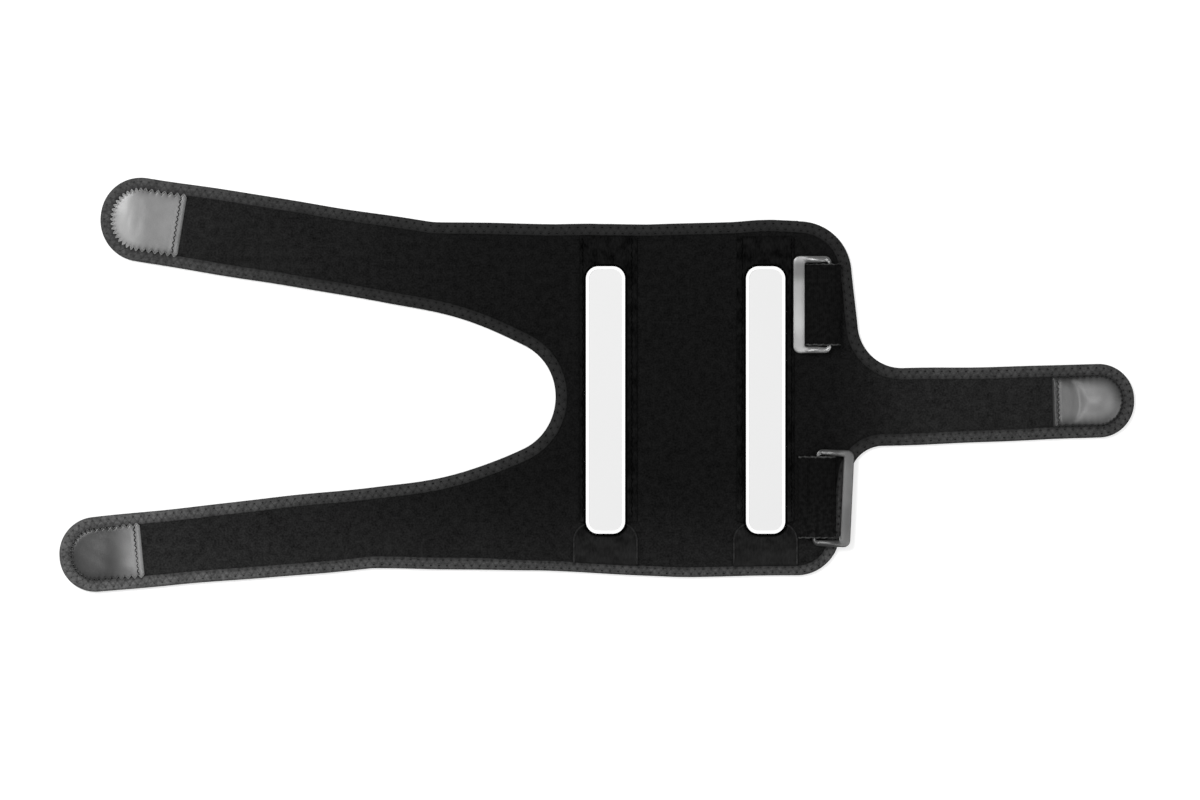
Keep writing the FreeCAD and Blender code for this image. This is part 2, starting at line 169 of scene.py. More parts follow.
def sample_outline(step):
    """Points, inward ways and run lengths along the whole outline."""
    edges = outline_edges()
    count = len(edges)
    corners = [corner(edges[i], edges[(i + 1) % count]) for i in range(count)]
    rounds = [e[3] for e in edges]
    for i in range(count):
        length = np.linalg.norm(corners[i][0] - corners[i - 1][0])
        used = sum(rounds[k] * np.tan(abs(corners[k][1]) / 2) for k in (i, i - 1))
        if used > length:
            rounds[i] *= 0.999 * length / used
            rounds[i - 1] *= 0.999 * length / used
    points, ways = [], []
    last = corners[-1][0] + rounds[-1] * np.tan(abs(corners[-1][1]) / 2) * turned(edges[0][2])
    for i, (place, turn) in enumerate(corners):
        heading = edges[i][2]
        start = place - rounds[i] * np.tan(abs(turn) / 2) * turned(heading)
        bits = max(1, int(round(np.linalg.norm(start - last) / step)))
        for k in range(bits):
            points.append(last + (start - last) * k / bits)
            ways.append(turned(heading + 90))
        side = np.sign(turn)
        centre = start + side * rounds[i] * turned(heading + 90)
        bits = max(1, int(round(abs(turn) * rounds[i] / step)))
        for k in range(bits):
            now = heading + np.degrees(turn) * k / bits
            points.append(centre - side * rounds[i] * turned(now + 90))
            ways.append(turned(now + 90))
        last = centre - side * rounds[i] * turned(heading + np.degrees(turn) + 90)
    points, ways = np.array(points), np.array(ways)
    gaps = np.linalg.norm(np.roll(points, -1, 0) - points, axis=1)
    return points, ways, np.concatenate([[0], np.cumsum(gaps)])


EDGE, WAY, RUN = sample_outline(1.3)
TOTAL = RUN[-1]
print("outline:", len(EDGE), "samples over", round(TOTAL), "mm")

# %% [markdown]
# A wrap sewn by hand is never quite true to its die.
# So the edge wanders by a few tenths, and stands out a little above each pocket's band.
# It swells a little under the lower ring, and the lower hem has less tape folded over it.
# The stitches of the edge's two needle rows are then shared out evenly over its length.

# %% Uneven edge and stitch pitch
over_band = (np.clip(1.3 - np.abs(EDGE[:, 0] + 61) / 26, 0, 1)
             + np.clip(1.3 - np.abs(EDGE[:, 0] - 58) / 17, 0, 1)) * (EDGE[:, 1] > 120)
hand_sewn = 0.30 * np.sin(RUN[:-1] / 29 + np.sin(RUN[:-1] / 61)) + 0.12 * np.sin(RUN[:-1] / 11)
EDGE = EDGE - WAY * (hand_sewn + 0.8 * np.minimum(over_band, 1))[:, None]
swell = 1.7 * np.exp(-((EDGE - [112, -98]) ** 2).sum(1) / 22 ** 2)
EDGE = EDGE - WAY * swell[:, None]
at_hem = np.clip((-105 - EDGE[:, 1]) / 12, 0, 1) * np.clip((EDGE[:, 0] + 150) / 40, 0, 1)
WAY = WAY * (1 - 0.16 * at_hem)[:, None]
STITCH = 5.95                                   # along the edge between needle points of a row
ROWS = (3.0, 6.7)                               # insets of the two needle rows
COUNT = int(round(TOTAL / STITCH))
PITCH = TOTAL / COUNT
print("stitches:", COUNT, "per row,", round(PITCH, 3), "mm apart")


def on_edge(run, inset):
    """Points at run lengths along the outline, each moved in along its way by its inset."""
    run = np.asarray(run, float) % TOTAL
    index = np.clip(np.searchsorted(RUN, run, side="right") - 1, 0, len(EDGE) - 1)
    share = ((run - RUN[index]) / (RUN[index + 1] - RUN[index]))[:, None]
    after = (index + 1) % len(EDGE)
    way = WAY[index] * (1 - share) + WAY[after] * share
    return EDGE[index] * (1 - share) + EDGE[after] * share + way * np.reshape(inset, (-1, 1))


# %% [markdown]
# ## Colours and finishes
# A finish is one shader with a few procedural patterns, placed by each piece's own flat map.
# The wrapper below lets patterns be added and multiplied like numbers, so that a finish
# reads as the sum it is and not as a list of nodes and links.

# %% Shader wrapper
class Sock:
    """An output of a shader tree. Arithmetic on it adds the nodes that work it out."""

    def __init__(self, tree, socket):
        self.tree, self.socket = tree, socket

    @property
    def wide(self):
        return self.socket.type in ("VECTOR", "RGBA")

    def new(self, kind, settings=None, values=None, out=0):
        """Another node: its settings first, then its inputs' values or links."""
        node = self.tree.nodes.new(kind)
        for key, value in (settings or {}).items():
            setattr(node, key, value)
        for key, value in (values or {}).items():
            place(self.tree, node.inputs[key], value)
        return Sock(self.tree, node.outputs[out])

    def work(self, name, other=0.0, flip=False):
        several = isinstance(other, tuple) or (isinstance(other, Sock) and other.wide)
        kind = "ShaderNodeVectorMath" if self.wide or several else "ShaderNodeMath"
        first, second = (other, self) if flip else (self, other)
        return self.new(kind, {"operation": name}, {0: first, 1: second})

    def __add__(self, other):
        return self.work("ADD", other)

    def __sub__(self, other):
        return self.work("SUBTRACT", other)

    def __mul__(self, other):
        return self.work("MULTIPLY", other)

    def __truediv__(self, other):
        return self.work("DIVIDE", other)

    def __rsub__(self, other):
        return self.work("SUBTRACT", other, flip=True)

    def __rtruediv__(self, other):
        return self.work("DIVIDE", other, flip=True)

    __radd__, __rmul__ = __add__, __mul__

    def clip(self, low, high):
        """Ramps from 0 at low to 1 at high."""
        return self.new("ShaderNodeMapRange", {"interpolation_type": "SMOOTHSTEP"},
                        {0: self, 1: low, 2: high})


def place(tree, socket, value):
    """Links a value to a socket if it is an output, and sets it there if it is a constant."""
    if isinstance(value, Sock):
        tree.links.new(value.socket, socket)
    elif socket.type in ("VECTOR", "RGBA") and not isinstance(value, tuple):
        socket.default_value = [value] * len(socket.default_value)
    elif socket.type == "RGBA":
        socket.default_value = (*value[:3], 1.0)
    else:
        socket.default_value = value


# %% [markdown]
# A finish is made from a paint function, which gets the flat map and gives what changes
# over the surface. All that stays the same is a constant on the shader's own socket.

# %% Finish
def finish(name, paint, **constants):
    """A material: constants on the shader, then what paint(flat) gives for its sockets."""
    material = bpy.data.materials.new(name)
    material.use_nodes = True
    tree = material.node_tree
    shader = next(n for n in tree.nodes if n.type == "BSDF_PRINCIPLED")
    for key, value in constants.items():
        place(tree, shader.inputs[key.replace("_", " ")], value)
    here = Sock(tree, shader.outputs[0])
    flat = here.new("ShaderNodeUVMap", {"uv_map": "flat"})
    for key, value in paint(flat).items():
        if key == "Bump":
            height, distance = value
            value = here.new("ShaderNodeBump", None,
                             {"Strength": 1.0, "Distance": distance, "Height": height})
            key = "Normal"
        place(tree, shader.inputs[key], value)
    return material


def noise(flat, scale, detail=2.0, stretch=(1.0, 1.0, 1.0)):
    """Smooth noise on the flat map. A small stretch along an axis draws it out there."""
    return flat.new("ShaderNodeTexNoise", None,
                    {"Vector": flat * stretch, "Scale": scale, "Detail": detail})


# %% [markdown]
# ## Lining and tape finishes
# The flat map is in millimetres, so a scale of 1 makes patterns about 1 mm across.
# The lining is brushed knit: nearly black, rough, with a fine speckle of fibre ends.
# Both it and the tape are painted paler towards the strap tips and the lower edge, as painted
# light.
# The tape also gets painted shade in the dents between its stitches, which its edge map places,
# and at its inner and outer edges.

# %% Lining and tape paint
def parts_of(vector):
    """The first two parts of a vector."""
    return tuple(vector.new("ShaderNodeSeparateXYZ", None, {0: vector}, out) for out in (0, 1))


def places(flat, right=(95.0, 190.0), low=(-55.0, -150.0)):
    """How far a place is to the left, to the right and to the lower edge, from 0 to 1, where
    painted light pales the cloth.
    """
    x, y = parts_of(flat)
    return x.clip(-90.0, -430.0), x.clip(*right), y.clip(*low)


# painted light: the spans over which the tape is painted paler
TAPE_SPANS = (120.0, 200.0), (-20.0, -130.0)        # where the tape pales, right and low


def paint_lining(flat):
    left, right, low = places(flat)
    fibre = noise(flat, 0.75, 5.0).clip(0.25, 0.75)
    tuft = noise(flat, 0.20, 3.0).clip(0.15, 0.85)
    cloud = noise(flat, 0.035, 2.0)
    # painted sheen: paler towards the strap tips and the lower edge
    painted_sheen = 0.0054 + left * 0.0082 + right * 0.0085 + low * 0.0074
    return {"Base Color": painted_sheen * (fibre * 0.90 + tuft * 0.75 + cloud * 0.45 - 0.05),
            "Bump": (fibre, 0.00012)}


def paint_tape(flat):
    left, right, low = places(flat, *TAPE_SPANS)
    run, inset = parts_of(flat.new("ShaderNodeUVMap", {"uv_map": "edge"}))
    outer = (run * (2 * np.pi / PITCH)).work("COSINE") * 0.5 + 0.5
    row = inset.clip(3.9, 5.8)
    dent = outer + row - outer * row * 2.0
    rib = noise(flat, 0.55, 4.0).clip(0.30, 0.70)
    cloud = noise(flat, 0.12, 3.0).clip(0.2, 0.8)
    # painted light: the tape is paler towards the strap tips and the lower edge
    painted_light_tone = 0.0115 + left * left * 0.0350 + right * 0.0265 + low * 0.0335
    # painted shade at the tape's inner and outer edges and in the dents at its needle points
    painted_shade = 1.07 - inset.clip(4.8, 8.6) * 0.50 - inset.clip(1.2, 0.2) * 0.35
    painted_shade = painted_shade - dent * dent * (0.26 - left * 0.12)
    return {"Base Color": painted_light_tone * painted_shade * (0.35 + rib * 0.75 + cloud * 0.65),
            "Roughness": 0.6 + rib * 0.2, "Bump": (rib, 0.00012)}


# %% [markdown]
# ## Other cloth finishes
# The cover is loop cloth, the pockets a finely ribbed band and the keepers woven webbing.
# Ribs and weave are waves across the map, with fuzz over them so they don't look printed.
# Worn cloth is mottled. Near the lower edge the band, webbing and hems are painted paler,
# as painted light, and the band is less mottled.

# %% Other cloth paint
def paint_cover(flat):
    loops = flat.new("ShaderNodeTexVoronoi", {"feature": "F1"}, {"Vector": flat, "Scale": 1.3})
    fuzz = noise(flat, 2.2, 3.0)
    return {"Base Color": 0.006 + fuzz * 0.010 + loops * 0.004,
            "Bump": (loops * 0.6 + fuzz * 0.4, 0.00025)}


def paint_band(flat):
    wale = flat.new("ShaderNodeTexWave", {"bands_direction": "X"},
                    {"Vector": flat, "Scale": 0.35, "Distortion": 1.5, "Detail": 1.0})
    speckle = noise(flat, 0.75, 5.0, stretch=(1.0, 0.35, 1.0)).clip(0.25, 0.75)
    low = places(flat)[2]
    cloud = noise(flat, 0.11, 3.0).clip(0.3, 0.7)
    mottle = 1.0 + (speckle + cloud - 1.0) * (1.20 - low * 1.05)
    # painted light: paler near the lower edge
    return {"Base Color": (0.0032 + wale * 0.0012 + low * 0.0130) * mottle,
            "Bump": (wale, 0.00008)}


def paint_webbing(flat):
    weft = flat.new("ShaderNodeTexWave", {"bands_direction": "Y", "wave_profile": "SIN"},
                    {"Vector": flat, "Scale": 0.45, "Distortion": 0.6})
    warp = flat.new("ShaderNodeTexWave", {"bands_direction": "X", "wave_profile": "SIN"},
                    {"Vector": flat, "Scale": 0.22, "Distortion": 0.4})
    weave = weft * warp
    fuzz = noise(flat, 0.35, 4.0).clip(0.36, 0.66)
    low = places(flat)[2]
    # painted light: paler near the lower edge
    return {"Base Color": (0.0013 + weave * 0.0030 + low * 0.006) * (0.2 + fuzz * 1.6),
            "Roughness": 0.7 + weave * 0.2, "Bump": (weave, 0.00020)}


def paint_hem(flat):
    fuzz = noise(flat, 0.35, 3.0).clip(0.35, 0.65)
    low = places(flat)[2]
    # painted light: paler near the lower edge
    return {"Base Color": (0.006 + low * 0.020) * (0.7 + fuzz * 0.6)}


def paint_selvedge_highlight(flat):
    fuzz = noise(flat, 0.35, 3.0).clip(0.35, 0.65)
    # painted highlight: the selvedge is painted much paler than the webbing
    return {"Base Color": 0.008 + fuzz * 0.040}


# %% [markdown]
# Cloth scatters light and hardly mirrors it, so all of it is rough with a low specular.

# %% Cloth finishes
HEM = finish("hem", paint_hem, Roughness=0.8, Specular_IOR_Level=0.1)
SELVEDGE_HIGHLIGHT = finish("selvedge", paint_selvedge_highlight, Roughness=0.7, Specular_IOR_Level=0.2)
LINING = finish("brushed_lining", paint_lining, Roughness=1.0, Specular_IOR_Level=0.05)
TAPE = finish("edge_tape", paint_tape, Specular_IOR_Level=0.15)
COVER = finish("loop_cover", paint_cover, Roughness=1.0, Specular_IOR_Level=0.05)
BAND = finish("pocket_cloth", paint_band, Roughness=0.95, Specular_IOR_Level=0.05)
WEBBING = finish("webbing", paint_webbing, Specular_IOR_Level=0.08)
print("cloth finishes:", len(bpy.data.materials))

# %% [markdown]
# ## Plastic, metal and coated cloth
# The stays are smooth white plastic, and the rings plated metal, finely brushed.
# The pull tabs are coated cloth, glossier than the rest, and each has its own painted highlight
# and painted shade.
# The rings differ too, in painted light and shade, so ring and tab finishes are made from a few
# numbers each.

# %% Plastic, metal and coated paint
def paint_stay(flat):
    cloud = noise(flat, 0.02, 1.0)
    return {"Base Color": 0.715 + cloud * 0.02, "Roughness": 0.42 + cloud * 0.1}


def paint_rim_highlight(flat):
    cloud = noise(flat, 0.02, 1.0)
    # painted highlight: the rim is painted whiter than the face
    return {"Base Color": 0.93 + cloud * 0.02, "Roughness": 0.42 + cloud * 0.1}


def ring_paint(level, shade_band, arms):
    """Satin plated metal, rougher on the bar and glossier on the arms, with painted shade on the
    arms and in a band near one end.
    """
    def paint(flat):
        brush = noise(flat, 1.0, 2.0, stretch=(0.5, 0.05, 1.0))
        cloud = noise(flat, 0.05, 2.0, stretch=(1.0, 0.6, 1.0)).clip(0.3, 0.7)
        x, y = parts_of(flat)
        arm = x.clip(*arms)
        # painted shade: a darker band near the bar's upper end, for a dark reflection, and the
        # arms painted darker
        painted_dark_band = y.clip(82.0, 93.0) * y.clip(105.0, 98.0) * shade_band
        return {"Base Color": (1.0 - painted_dark_band) * (1.0 - arm * 0.3) * level
                * (0.78 + cloud * 0.30 + brush * 0.15),
                "Roughness": 0.42 + brush * 0.10 - arm * 0.17, "Bump": (brush, 0.00004)}
    return paint


def tab_paint(highlight_span, highlight_levels, border, shade_width):
    """Coated cloth with a painted highlight that goes from one level to another, and painted shade
    towards its border.
    """
    def paint(flat):
        rim = parts_of(flat.new("ShaderNodeUVMap", {"uv_map": "edge"}))[1]
        grain = noise(flat, 1.0, 3.0)
        cloud = noise(flat, 0.09, 2.0)
        # painted highlight changing across the tab, and painted shade darkening it towards its
        # border
        along = parts_of(flat)[0].clip(*highlight_span)
        painted_light_tone = highlight_levels[0] + along * (highlight_levels[1] - highlight_levels[0])
        painted_light_tone = painted_light_tone * (border + rim.clip(0.0, shade_width) * (1.0 - border))
        return {"Base Color": painted_light_tone * (0.72 + cloud * 0.38 + grain * 0.18),
                "Roughness": 0.25 + grain * 0.10, "Bump": (grain, 0.00005)}
    return paint


# %% [markdown]
# ## Hook tape, thread and needle holes
# Hook tape is a bed of small stiff hooks. Thread is dark, with a twist of a few plies.
# Along the edge it follows the tape's painted light, paler towards the strap tips and the lower
# edge.
# The black tube round each stay, the stays' flanges and the domes at needle holes are painted
# shade, as good as black.

# %% Hook and thread paint
def paint_hook(flat):
    hooks = flat.new("ShaderNodeTexVoronoi", {"feature": "F1"}, {"Vector": flat, "Scale": 0.9})
    return {"Base Color": 0.010 + hooks * 0.02, "Roughness": 0.4 + hooks * 0.3,
            "Bump": (hooks, 0.0005)}


def paint_thread(flat):
    ply = noise(flat, 3.0, 1.0)
    return {"Base Color": 0.012 + ply * 0.014, "Roughness": 0.45 + ply * 0.2}


def paint_tape_thread(flat):
    left, right, low = places(flat, *TAPE_SPANS)
    ply = noise(flat, 3.0, 1.0)
    # painted light: paler towards the strap tips and the lower edge, like the tape
    painted_light_tone = 0.0110 + left * left * 0.0260 + right * 0.0200 + low * 0.0260
    return {"Base Color": painted_light_tone * (0.6 + ply * 0.6)}


def paint_dark_thread_and_shade(flat):
    fuzz = noise(flat, 4.0, 1.0)
    # nearly black: painted shade on the stays' flanges and the tube round each stay, and the real
    # dark thread of the pockets' side stitches
    return {"Base Color": 0.001 + fuzz * 0.001}


def paint_pit_shade(flat):
    left, right, low = places(flat)
    # painted shade for the needle holes, paler towards the strap tips and the lower edge like the
    # tape
    return {"Base Color": 0.0040 + left * left * 0.0240 + right * 0.0060 + low * 0.0080}


# %% [markdown]
# The two rings are one metal: the upper one is painted lighter, with a band of painted shade near
# one end, and the lower one painted darker, as painted shade.
# A tab's numbers are where its painted highlight changes, both painted tones, and how much painted
# shade darkens its border.

# %% Hard finishes
STAY = finish("stay_plastic", paint_stay, Specular_IOR_Level=0.3)
# each ring: its level, its band of painted shade and where its arms begin; the two levels are
# painted light and shade on one metal
RINGS = {name: finish(f"{name}_ring_metal", ring_paint(*how), Metallic=1.0)
         for name, how in (("upper", (0.33, 0.5, (86.0, 90.0))),
                           ("lower", (0.130, 0.0, (115.0, 111.0))))}
RIM_HIGHLIGHT = finish("stay_rim_highlight", paint_rim_highlight, Specular_IOR_Level=0.3)
TABS = {name: finish(f"{name}_pull_tab", tab_paint(*how), Specular_IOR_Level=0.45)
        for name, how in {"upper": ((-412.0, -392.0), (0.33, 0.17), 0.80, 4.0),
                          "lower": ((-422.0, -394.0), (0.035, 0.215), 1.0, 4.0),
                          "middle": ((278.0, 296.0), (0.090, 0.160), 0.16, 10.0)}.items()}
HOOK = finish("hook_tape", paint_hook)
THREAD = finish("thread", paint_thread, Specular_IOR_Level=0.3)
TAPE_THREAD = finish("tape_thread", paint_tape_thread, Roughness=0.6, Specular_IOR_Level=0.2)
DARK_THREAD_AND_SHADE = finish("dark_thread_and_painted_shade", paint_dark_thread_and_shade, Roughness=1.0, Specular_IOR_Level=0.0)
PIT_SHADE = finish("needle_hole_shade", paint_pit_shade, Roughness=1.0, Specular_IOR_Level=0.0)
print("finishes:", len(bpy.data.materials))

# %% [markdown]
# ## Making meshes
# Pieces that cross a fold are cut into eight zones, one round each bend between two bodies.
# The cut runs between folds.
# Normals come from the whole sheet, so that the cut isn't seen.

# %% Mesh objects
def flat_map(mesh):
    """Stores each corner's resting place in plan, in millimetres."""
    layer = mesh.uv_layers.get("flat") or mesh.uv_layers.new(name="flat")
    place_of = np.array([v.co[:] for v in mesh.vertices]).reshape(-1, 3) / MM
    corners = np.zeros(len(mesh.loops), int)
    mesh.loops.foreach_get("vertex_index", corners)
    layer.data.foreach_set("uv", place_of[corners][:, :2].astype(np.float32).ravel())


def mesh_object(name, points, faces, material, slot, edge=None):
    """A new object from points in millimetres. edge gives each point's run and inset."""
    mesh = bpy.data.meshes.new(name)
    mesh.from_pydata((np.asarray(points) * MM).tolist(), [], [list(f) for f in faces])
    mesh.materials.append(material)
    mesh.shade_smooth()
    flat_map(mesh)
    if edge is not None:
        corners = np.zeros(len(mesh.loops), int)
        mesh.loops.foreach_get("vertex_index", corners)
        mesh.uv_layers.new(name="edge").data.foreach_set(
            "uv", np.asarray(edge)[corners].astype(np.float32).ravel())
    thing = bpy.data.objects.new(name, mesh)
    bpy.context.scene.collection.objects.link(thing)
    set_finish(thing, slot)
    return thing


# %% [markdown]
# Two zones share the centre panel and wings, and each strap has one at its root and one at
# its end. A row gives the zone's name, its two bodies, where the bend between them starts
# and ends, and the bodies whose CAD pieces are replaced by what is made there.

# %% Zones
ZONES = [
    ("centre_left", "centre_panel", "left_wing", (-23.0, 0.0), (-37.0, 0.0),
     ("centre_panel", "left_wing")),
    ("centre_right", "centre_panel", "right_wing", (23.0, 0.0), (37.0, 0.0), ("right_wing",)),
    ("upper_root", "left_wing", "upper_strap", UPPER.at(-8), UPPER.at(8), ("upper_strap",)),
    ("upper_end", "upper_strap", "upper_tip", UPPER.at(110), UPPER.at(126), ("upper_tip",)),
    ("lower_root", "left_wing", "lower_strap", LOWER.at(-8), LOWER.at(8), ("lower_strap",)),
    ("lower_end", "lower_strap", "lower_tip", LOWER.at(110), LOWER.at(126), ("lower_tip",)),
    ("middle_root", "right_wing", "middle_strap", MIDDLE.at(-8), MIDDLE.at(8),
     ("middle_strap",)),
    ("middle_end", "middle_strap", "middle_tip", MIDDLE.at(73), MIDDLE.at(89),
     ("middle_tip",)),
]


CUT_LEFT, CUT_RIGHT = -140, 112         # between the wings' zones and the straps' root zones
CUT_LONG, CUT_SHORT = 59, 40            # along a strap, between its root zone and its end zone


def zone_of(points):
    """The number of the zone that each point is in."""
    x, y = points[:, 0], points[:, 1]
    zone = np.where(x < 0, 0, 1)
    left, up = x < CUT_LEFT, y > 0
    zone = np.where(left & up, np.where(UPPER.along(points)[0] < CUT_LONG, 2, 3), zone)
    zone = np.where(left & ~up, np.where(LOWER.along(points)[0] < CUT_LONG, 4, 5), zone)
    return np.where(x > CUT_RIGHT, np.where(MIDDLE.along(points)[0] < CUT_SHORT, 6, 7), zone)


def zoned(name, points, faces, material, slot, replaced=(), groups=None, edge=None):
    """A mesh cut into the zones. groups gives each face's place where pieces stay whole."""
    points = np.asarray(points, float)
    whole = bpy.data.meshes.new("whole")
    whole.from_pydata((points * MM).tolist(), [], [list(f) for f in faces])
    normals = np.array([v.normal[:] for v in whole.vertices])
    bpy.data.meshes.remove(whole)
    centres = np.array([points[list(f)].mean(0) for f in faces]) if groups is None else groups
    of_face = zone_of(centres)
    made = []
    for number, (zone, a, b, start, end, bodies) in enumerate(ZONES):
        mine = [faces[i] for i in np.flatnonzero(of_face == number)]
        if not mine:
            continue
        used, flat_index = np.unique(np.concatenate([list(f) for f in mine]),
                                     return_inverse=True)
        cuts = np.cumsum([len(f) for f in mine])[:-1]
        thing = mesh_object(f"{name}_{zone}", points[used], np.split(flat_index, cuts),
                            material, slot, edge=None if edge is None else edge[used])
        thing.data.normals_split_custom_set_from_vertices(normals[used].tolist())
        start[0] * MM
        start[1] * MM
        end[0] * MM
        end[1] * MM
        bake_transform(thing)
        if replaced:
            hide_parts(*[f"{body}_{part}" for body in bodies for part in replaced])
        made.append(thing)
    return made


print("zones:", len(ZONES))

# %% [markdown]
# Most meshes here are rows of points swept along something, with a strip of faces between
# each two rows. A soft sheet also gets a slow unevenness, as foam has under cloth.

# %% Strips and relief
def strips(first, count, rows, closed=True):
    """Faces between rows of count points each, numbered row by row from first."""
    here = np.arange(count if closed else count - 1)
    after = (here + 1) % count
    faces = []
    for r in range(rows - 1):
        low, high = first + r * count, first + (r + 1) * count
        faces += np.stack([low + here, low + after, high + after, high + here], 1).tolist()
    return faces


def relief(points):
    """Slow unevenness of a soft sheet, between about -1 and 1."""
    x, y = points[:, 0], points[:, 1]
    wave = (np.sin(x / 31 + 1.3 * np.sin(y / 47)) * np.sin(y / 37 + 0.7)
            + 0.6 * np.sin(x / 17 + y / 23 + 2.0) * np.cos(y / 19 - x / 53))
    return wave / 1.6


# %% [markdown]
# ## Edge tape
# The tape is folded over the cut edge and sewn through with a two-row zigzag.
# Each needle point pulls it down, so the tape puffs up between the rows and between stitches.
# It could be a plain tube, but the pulled-down stitches are what makes it look sewn.
# Its section is a row of (inset, height) pairs swept along the outline.

# %% Edge tape
def needle_pull(run, inset):
    """How strongly a place is pulled down by the needle points near it."""
    near = 0.0
    for k, row in enumerate(ROWS):
        phase = (run / PITCH - 0.5 * k) % 1.0
        along = np.minimum(phase, 1 - phase) * PITCH
        near = near + np.exp(-(along / 1.25) ** 2 - ((inset - row) / 1.0) ** 2)
    return near


FACE_PULL, UNDER_PULL = 0.30, 0.15          # how far a needle point pulls either side in
SECTION = [(8.7, 3.10), (8.6, 3.45), (8.2, 3.66), (7.5, 3.70), (6.7, 3.58), (5.8, 3.74),
           (4.9, 3.80), (3.9, 3.72), (3.0, 3.52), (2.2, 3.50), (1.4, 3.32), (0.7, 2.95),
           (0.2, 2.45), (0.0, 1.80), (0.2, 1.10), (0.7, 0.60), (1.5, 0.28), (3.0, 0.20),
           (4.9, 0.05), (6.7, 0.20), (8.0, 0.08), (8.5, 0.20), (8.7, 0.50)]
tape_rows = []
for inset, height in SECTION:
    pull = needle_pull(RUN[:-1], inset)
    level = height - FACE_PULL * pull if height > 2 else height + UNDER_PULL * pull
    tape_rows.append(np.column_stack([EDGE + WAY * inset, level]))
tape_points = np.concatenate(tape_rows)
tape_faces = [f[::-1] for f in strips(0, len(EDGE), len(SECTION))]
tape_map = np.array([(run, inset) for inset, _ in SECTION for run in RUN[:-1]])
zoned("tape", tape_points, tape_faces, TAPE, "edge_tape", replaced=("edge_tape",),
      edge=tape_map)
print("edge tape:", len(tape_faces), "faces,", COUNT, "stitches per row")

# %% [markdown]
# ## Lining and cover
# Both sheets are filled with an even triangle mesh inside the tape.
# A grid cut off at the edge would leave slivers, so the ring's own points are kept and
# the grid's points too near it are left out before the triangles are made.

# %% Filling a ring
def inside(points, ring):
    """Which points are inside a closed ring."""
    a, b = ring, np.roll(ring, -1, 0)
    odd = np.zeros(len(points), bool)
    for (ax, ay), (bx, by) in zip(a, b):
        crosses = (ay > points[:, 1]) != (by > points[:, 1])
        if ay != by:
            odd ^= crosses & (points[:, 0] < (bx - ax) * (points[:, 1] - ay) / (by - ay) + ax)
    return odd


def nearest(points, ring):
    """Distance from each point to the nearest of the ring's points."""
    return np.concatenate([np.sqrt(((p[:, None] - ring[None]) ** 2).sum(2).min(1))
                           for p in np.array_split(points, 40)])


def filled(ring, pitch):
    """Points and triangles that fill a ring, its own points first."""
    low, high = ring.min(0), ring.max(0)
    xs, ys = np.arange(low[0], high[0], pitch), np.arange(low[1], high[1], pitch * 0.866)
    grid = np.array([(x + (j % 2) * pitch / 2, y) for j, y in enumerate(ys) for x in xs])
    grid = grid[inside(grid, ring)]
    grid = grid[nearest(grid, ring) > 0.55 * pitch]
    cloud = np.concatenate([ring, grid])
    out = delaunay_2d_cdt([Vector(p) for p in cloud.tolist()], [], [list(range(len(ring)))],
                          1, 1e-5)
    sources = [o[0] if o else -1 for o in out[3]]
    faces = [[sources[i] for i in f] for f in out[2]]
    return cloud, [f for f in faces if min(f) >= 0]


# %% [markdown]
# The lining rises softly out of the tape's inner edge, as foam does beside a seam.
# Its relief starts 12 mm in and is full 16 mm further on.
# The cover lies almost flat just above the table, and rises a little into the tape's fold.

# %% Lining and cover
SHEET_PITCH = 4.2                       # between the points that fill a sheet
RELIEF, RELIEF_FROM, RELIEF_OVER = 0.16, 12, 16
LINING_PROFILE = ((7.8, 2.9), (8.6, 3.05), (9.4, 3.30), (10.4, 3.46), (12.0, 3.56), (14.0, 3.60))
COVER_PROFILE = ((7.8, 0.60), (8.6, 0.50), (9.6, 0.36), (11.5, 0.30), (14.0, 0.30))


def sheet_inside_tape(profile, height, flip):
    """Rows along the tape's inner edge, then the fill, at profile and height."""
    rows = [np.column_stack([EDGE + WAY * inset, np.full(len(EDGE), level)])
            for inset, level in profile]
    last = EDGE + WAY * profile[-1][0]
    cloud, triangles = filled(last, SHEET_PITCH)
    ease = np.clip((nearest(cloud, EDGE) - RELIEF_FROM) / RELIEF_OVER, 0, 1)
    fill = np.column_stack([cloud, height + RELIEF * ease * relief(cloud)])
    fill[:len(EDGE), 2] = profile[-1][1]
    base = len(EDGE) * (len(profile) - 1)
    faces = strips(0, len(EDGE), len(profile)) + [[i + base for i in f] for f in triangles]
    points = np.concatenate(rows[:-1] + [fill])
    return points, [f[::-1] for f in faces] if flip else faces


lining = sheet_inside_tape(LINING_PROFILE, LINING_PROFILE[-1][1], False)
for piece in zoned("lining", *lining, LINING, "brushed_lining", replaced=("lining", "foam")):
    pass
cover = sheet_inside_tape(COVER_PROFILE, COVER_PROFILE[-1][1], True)
zoned("cover", *cover, COVER, "loop_cover", replaced=("cover",))
print("lining:", len(lining[1]), "faces, cover:", len(cover[1]), "faces")

# %% [markdown]
# ## Thread
# A zigzag runs between the two needle rows on both faces of the tape.
# Each throw is a short rod of thread that arches a little and sinks in at its ends.
# A small dark dome at each needle point is painted shade for the hole there.

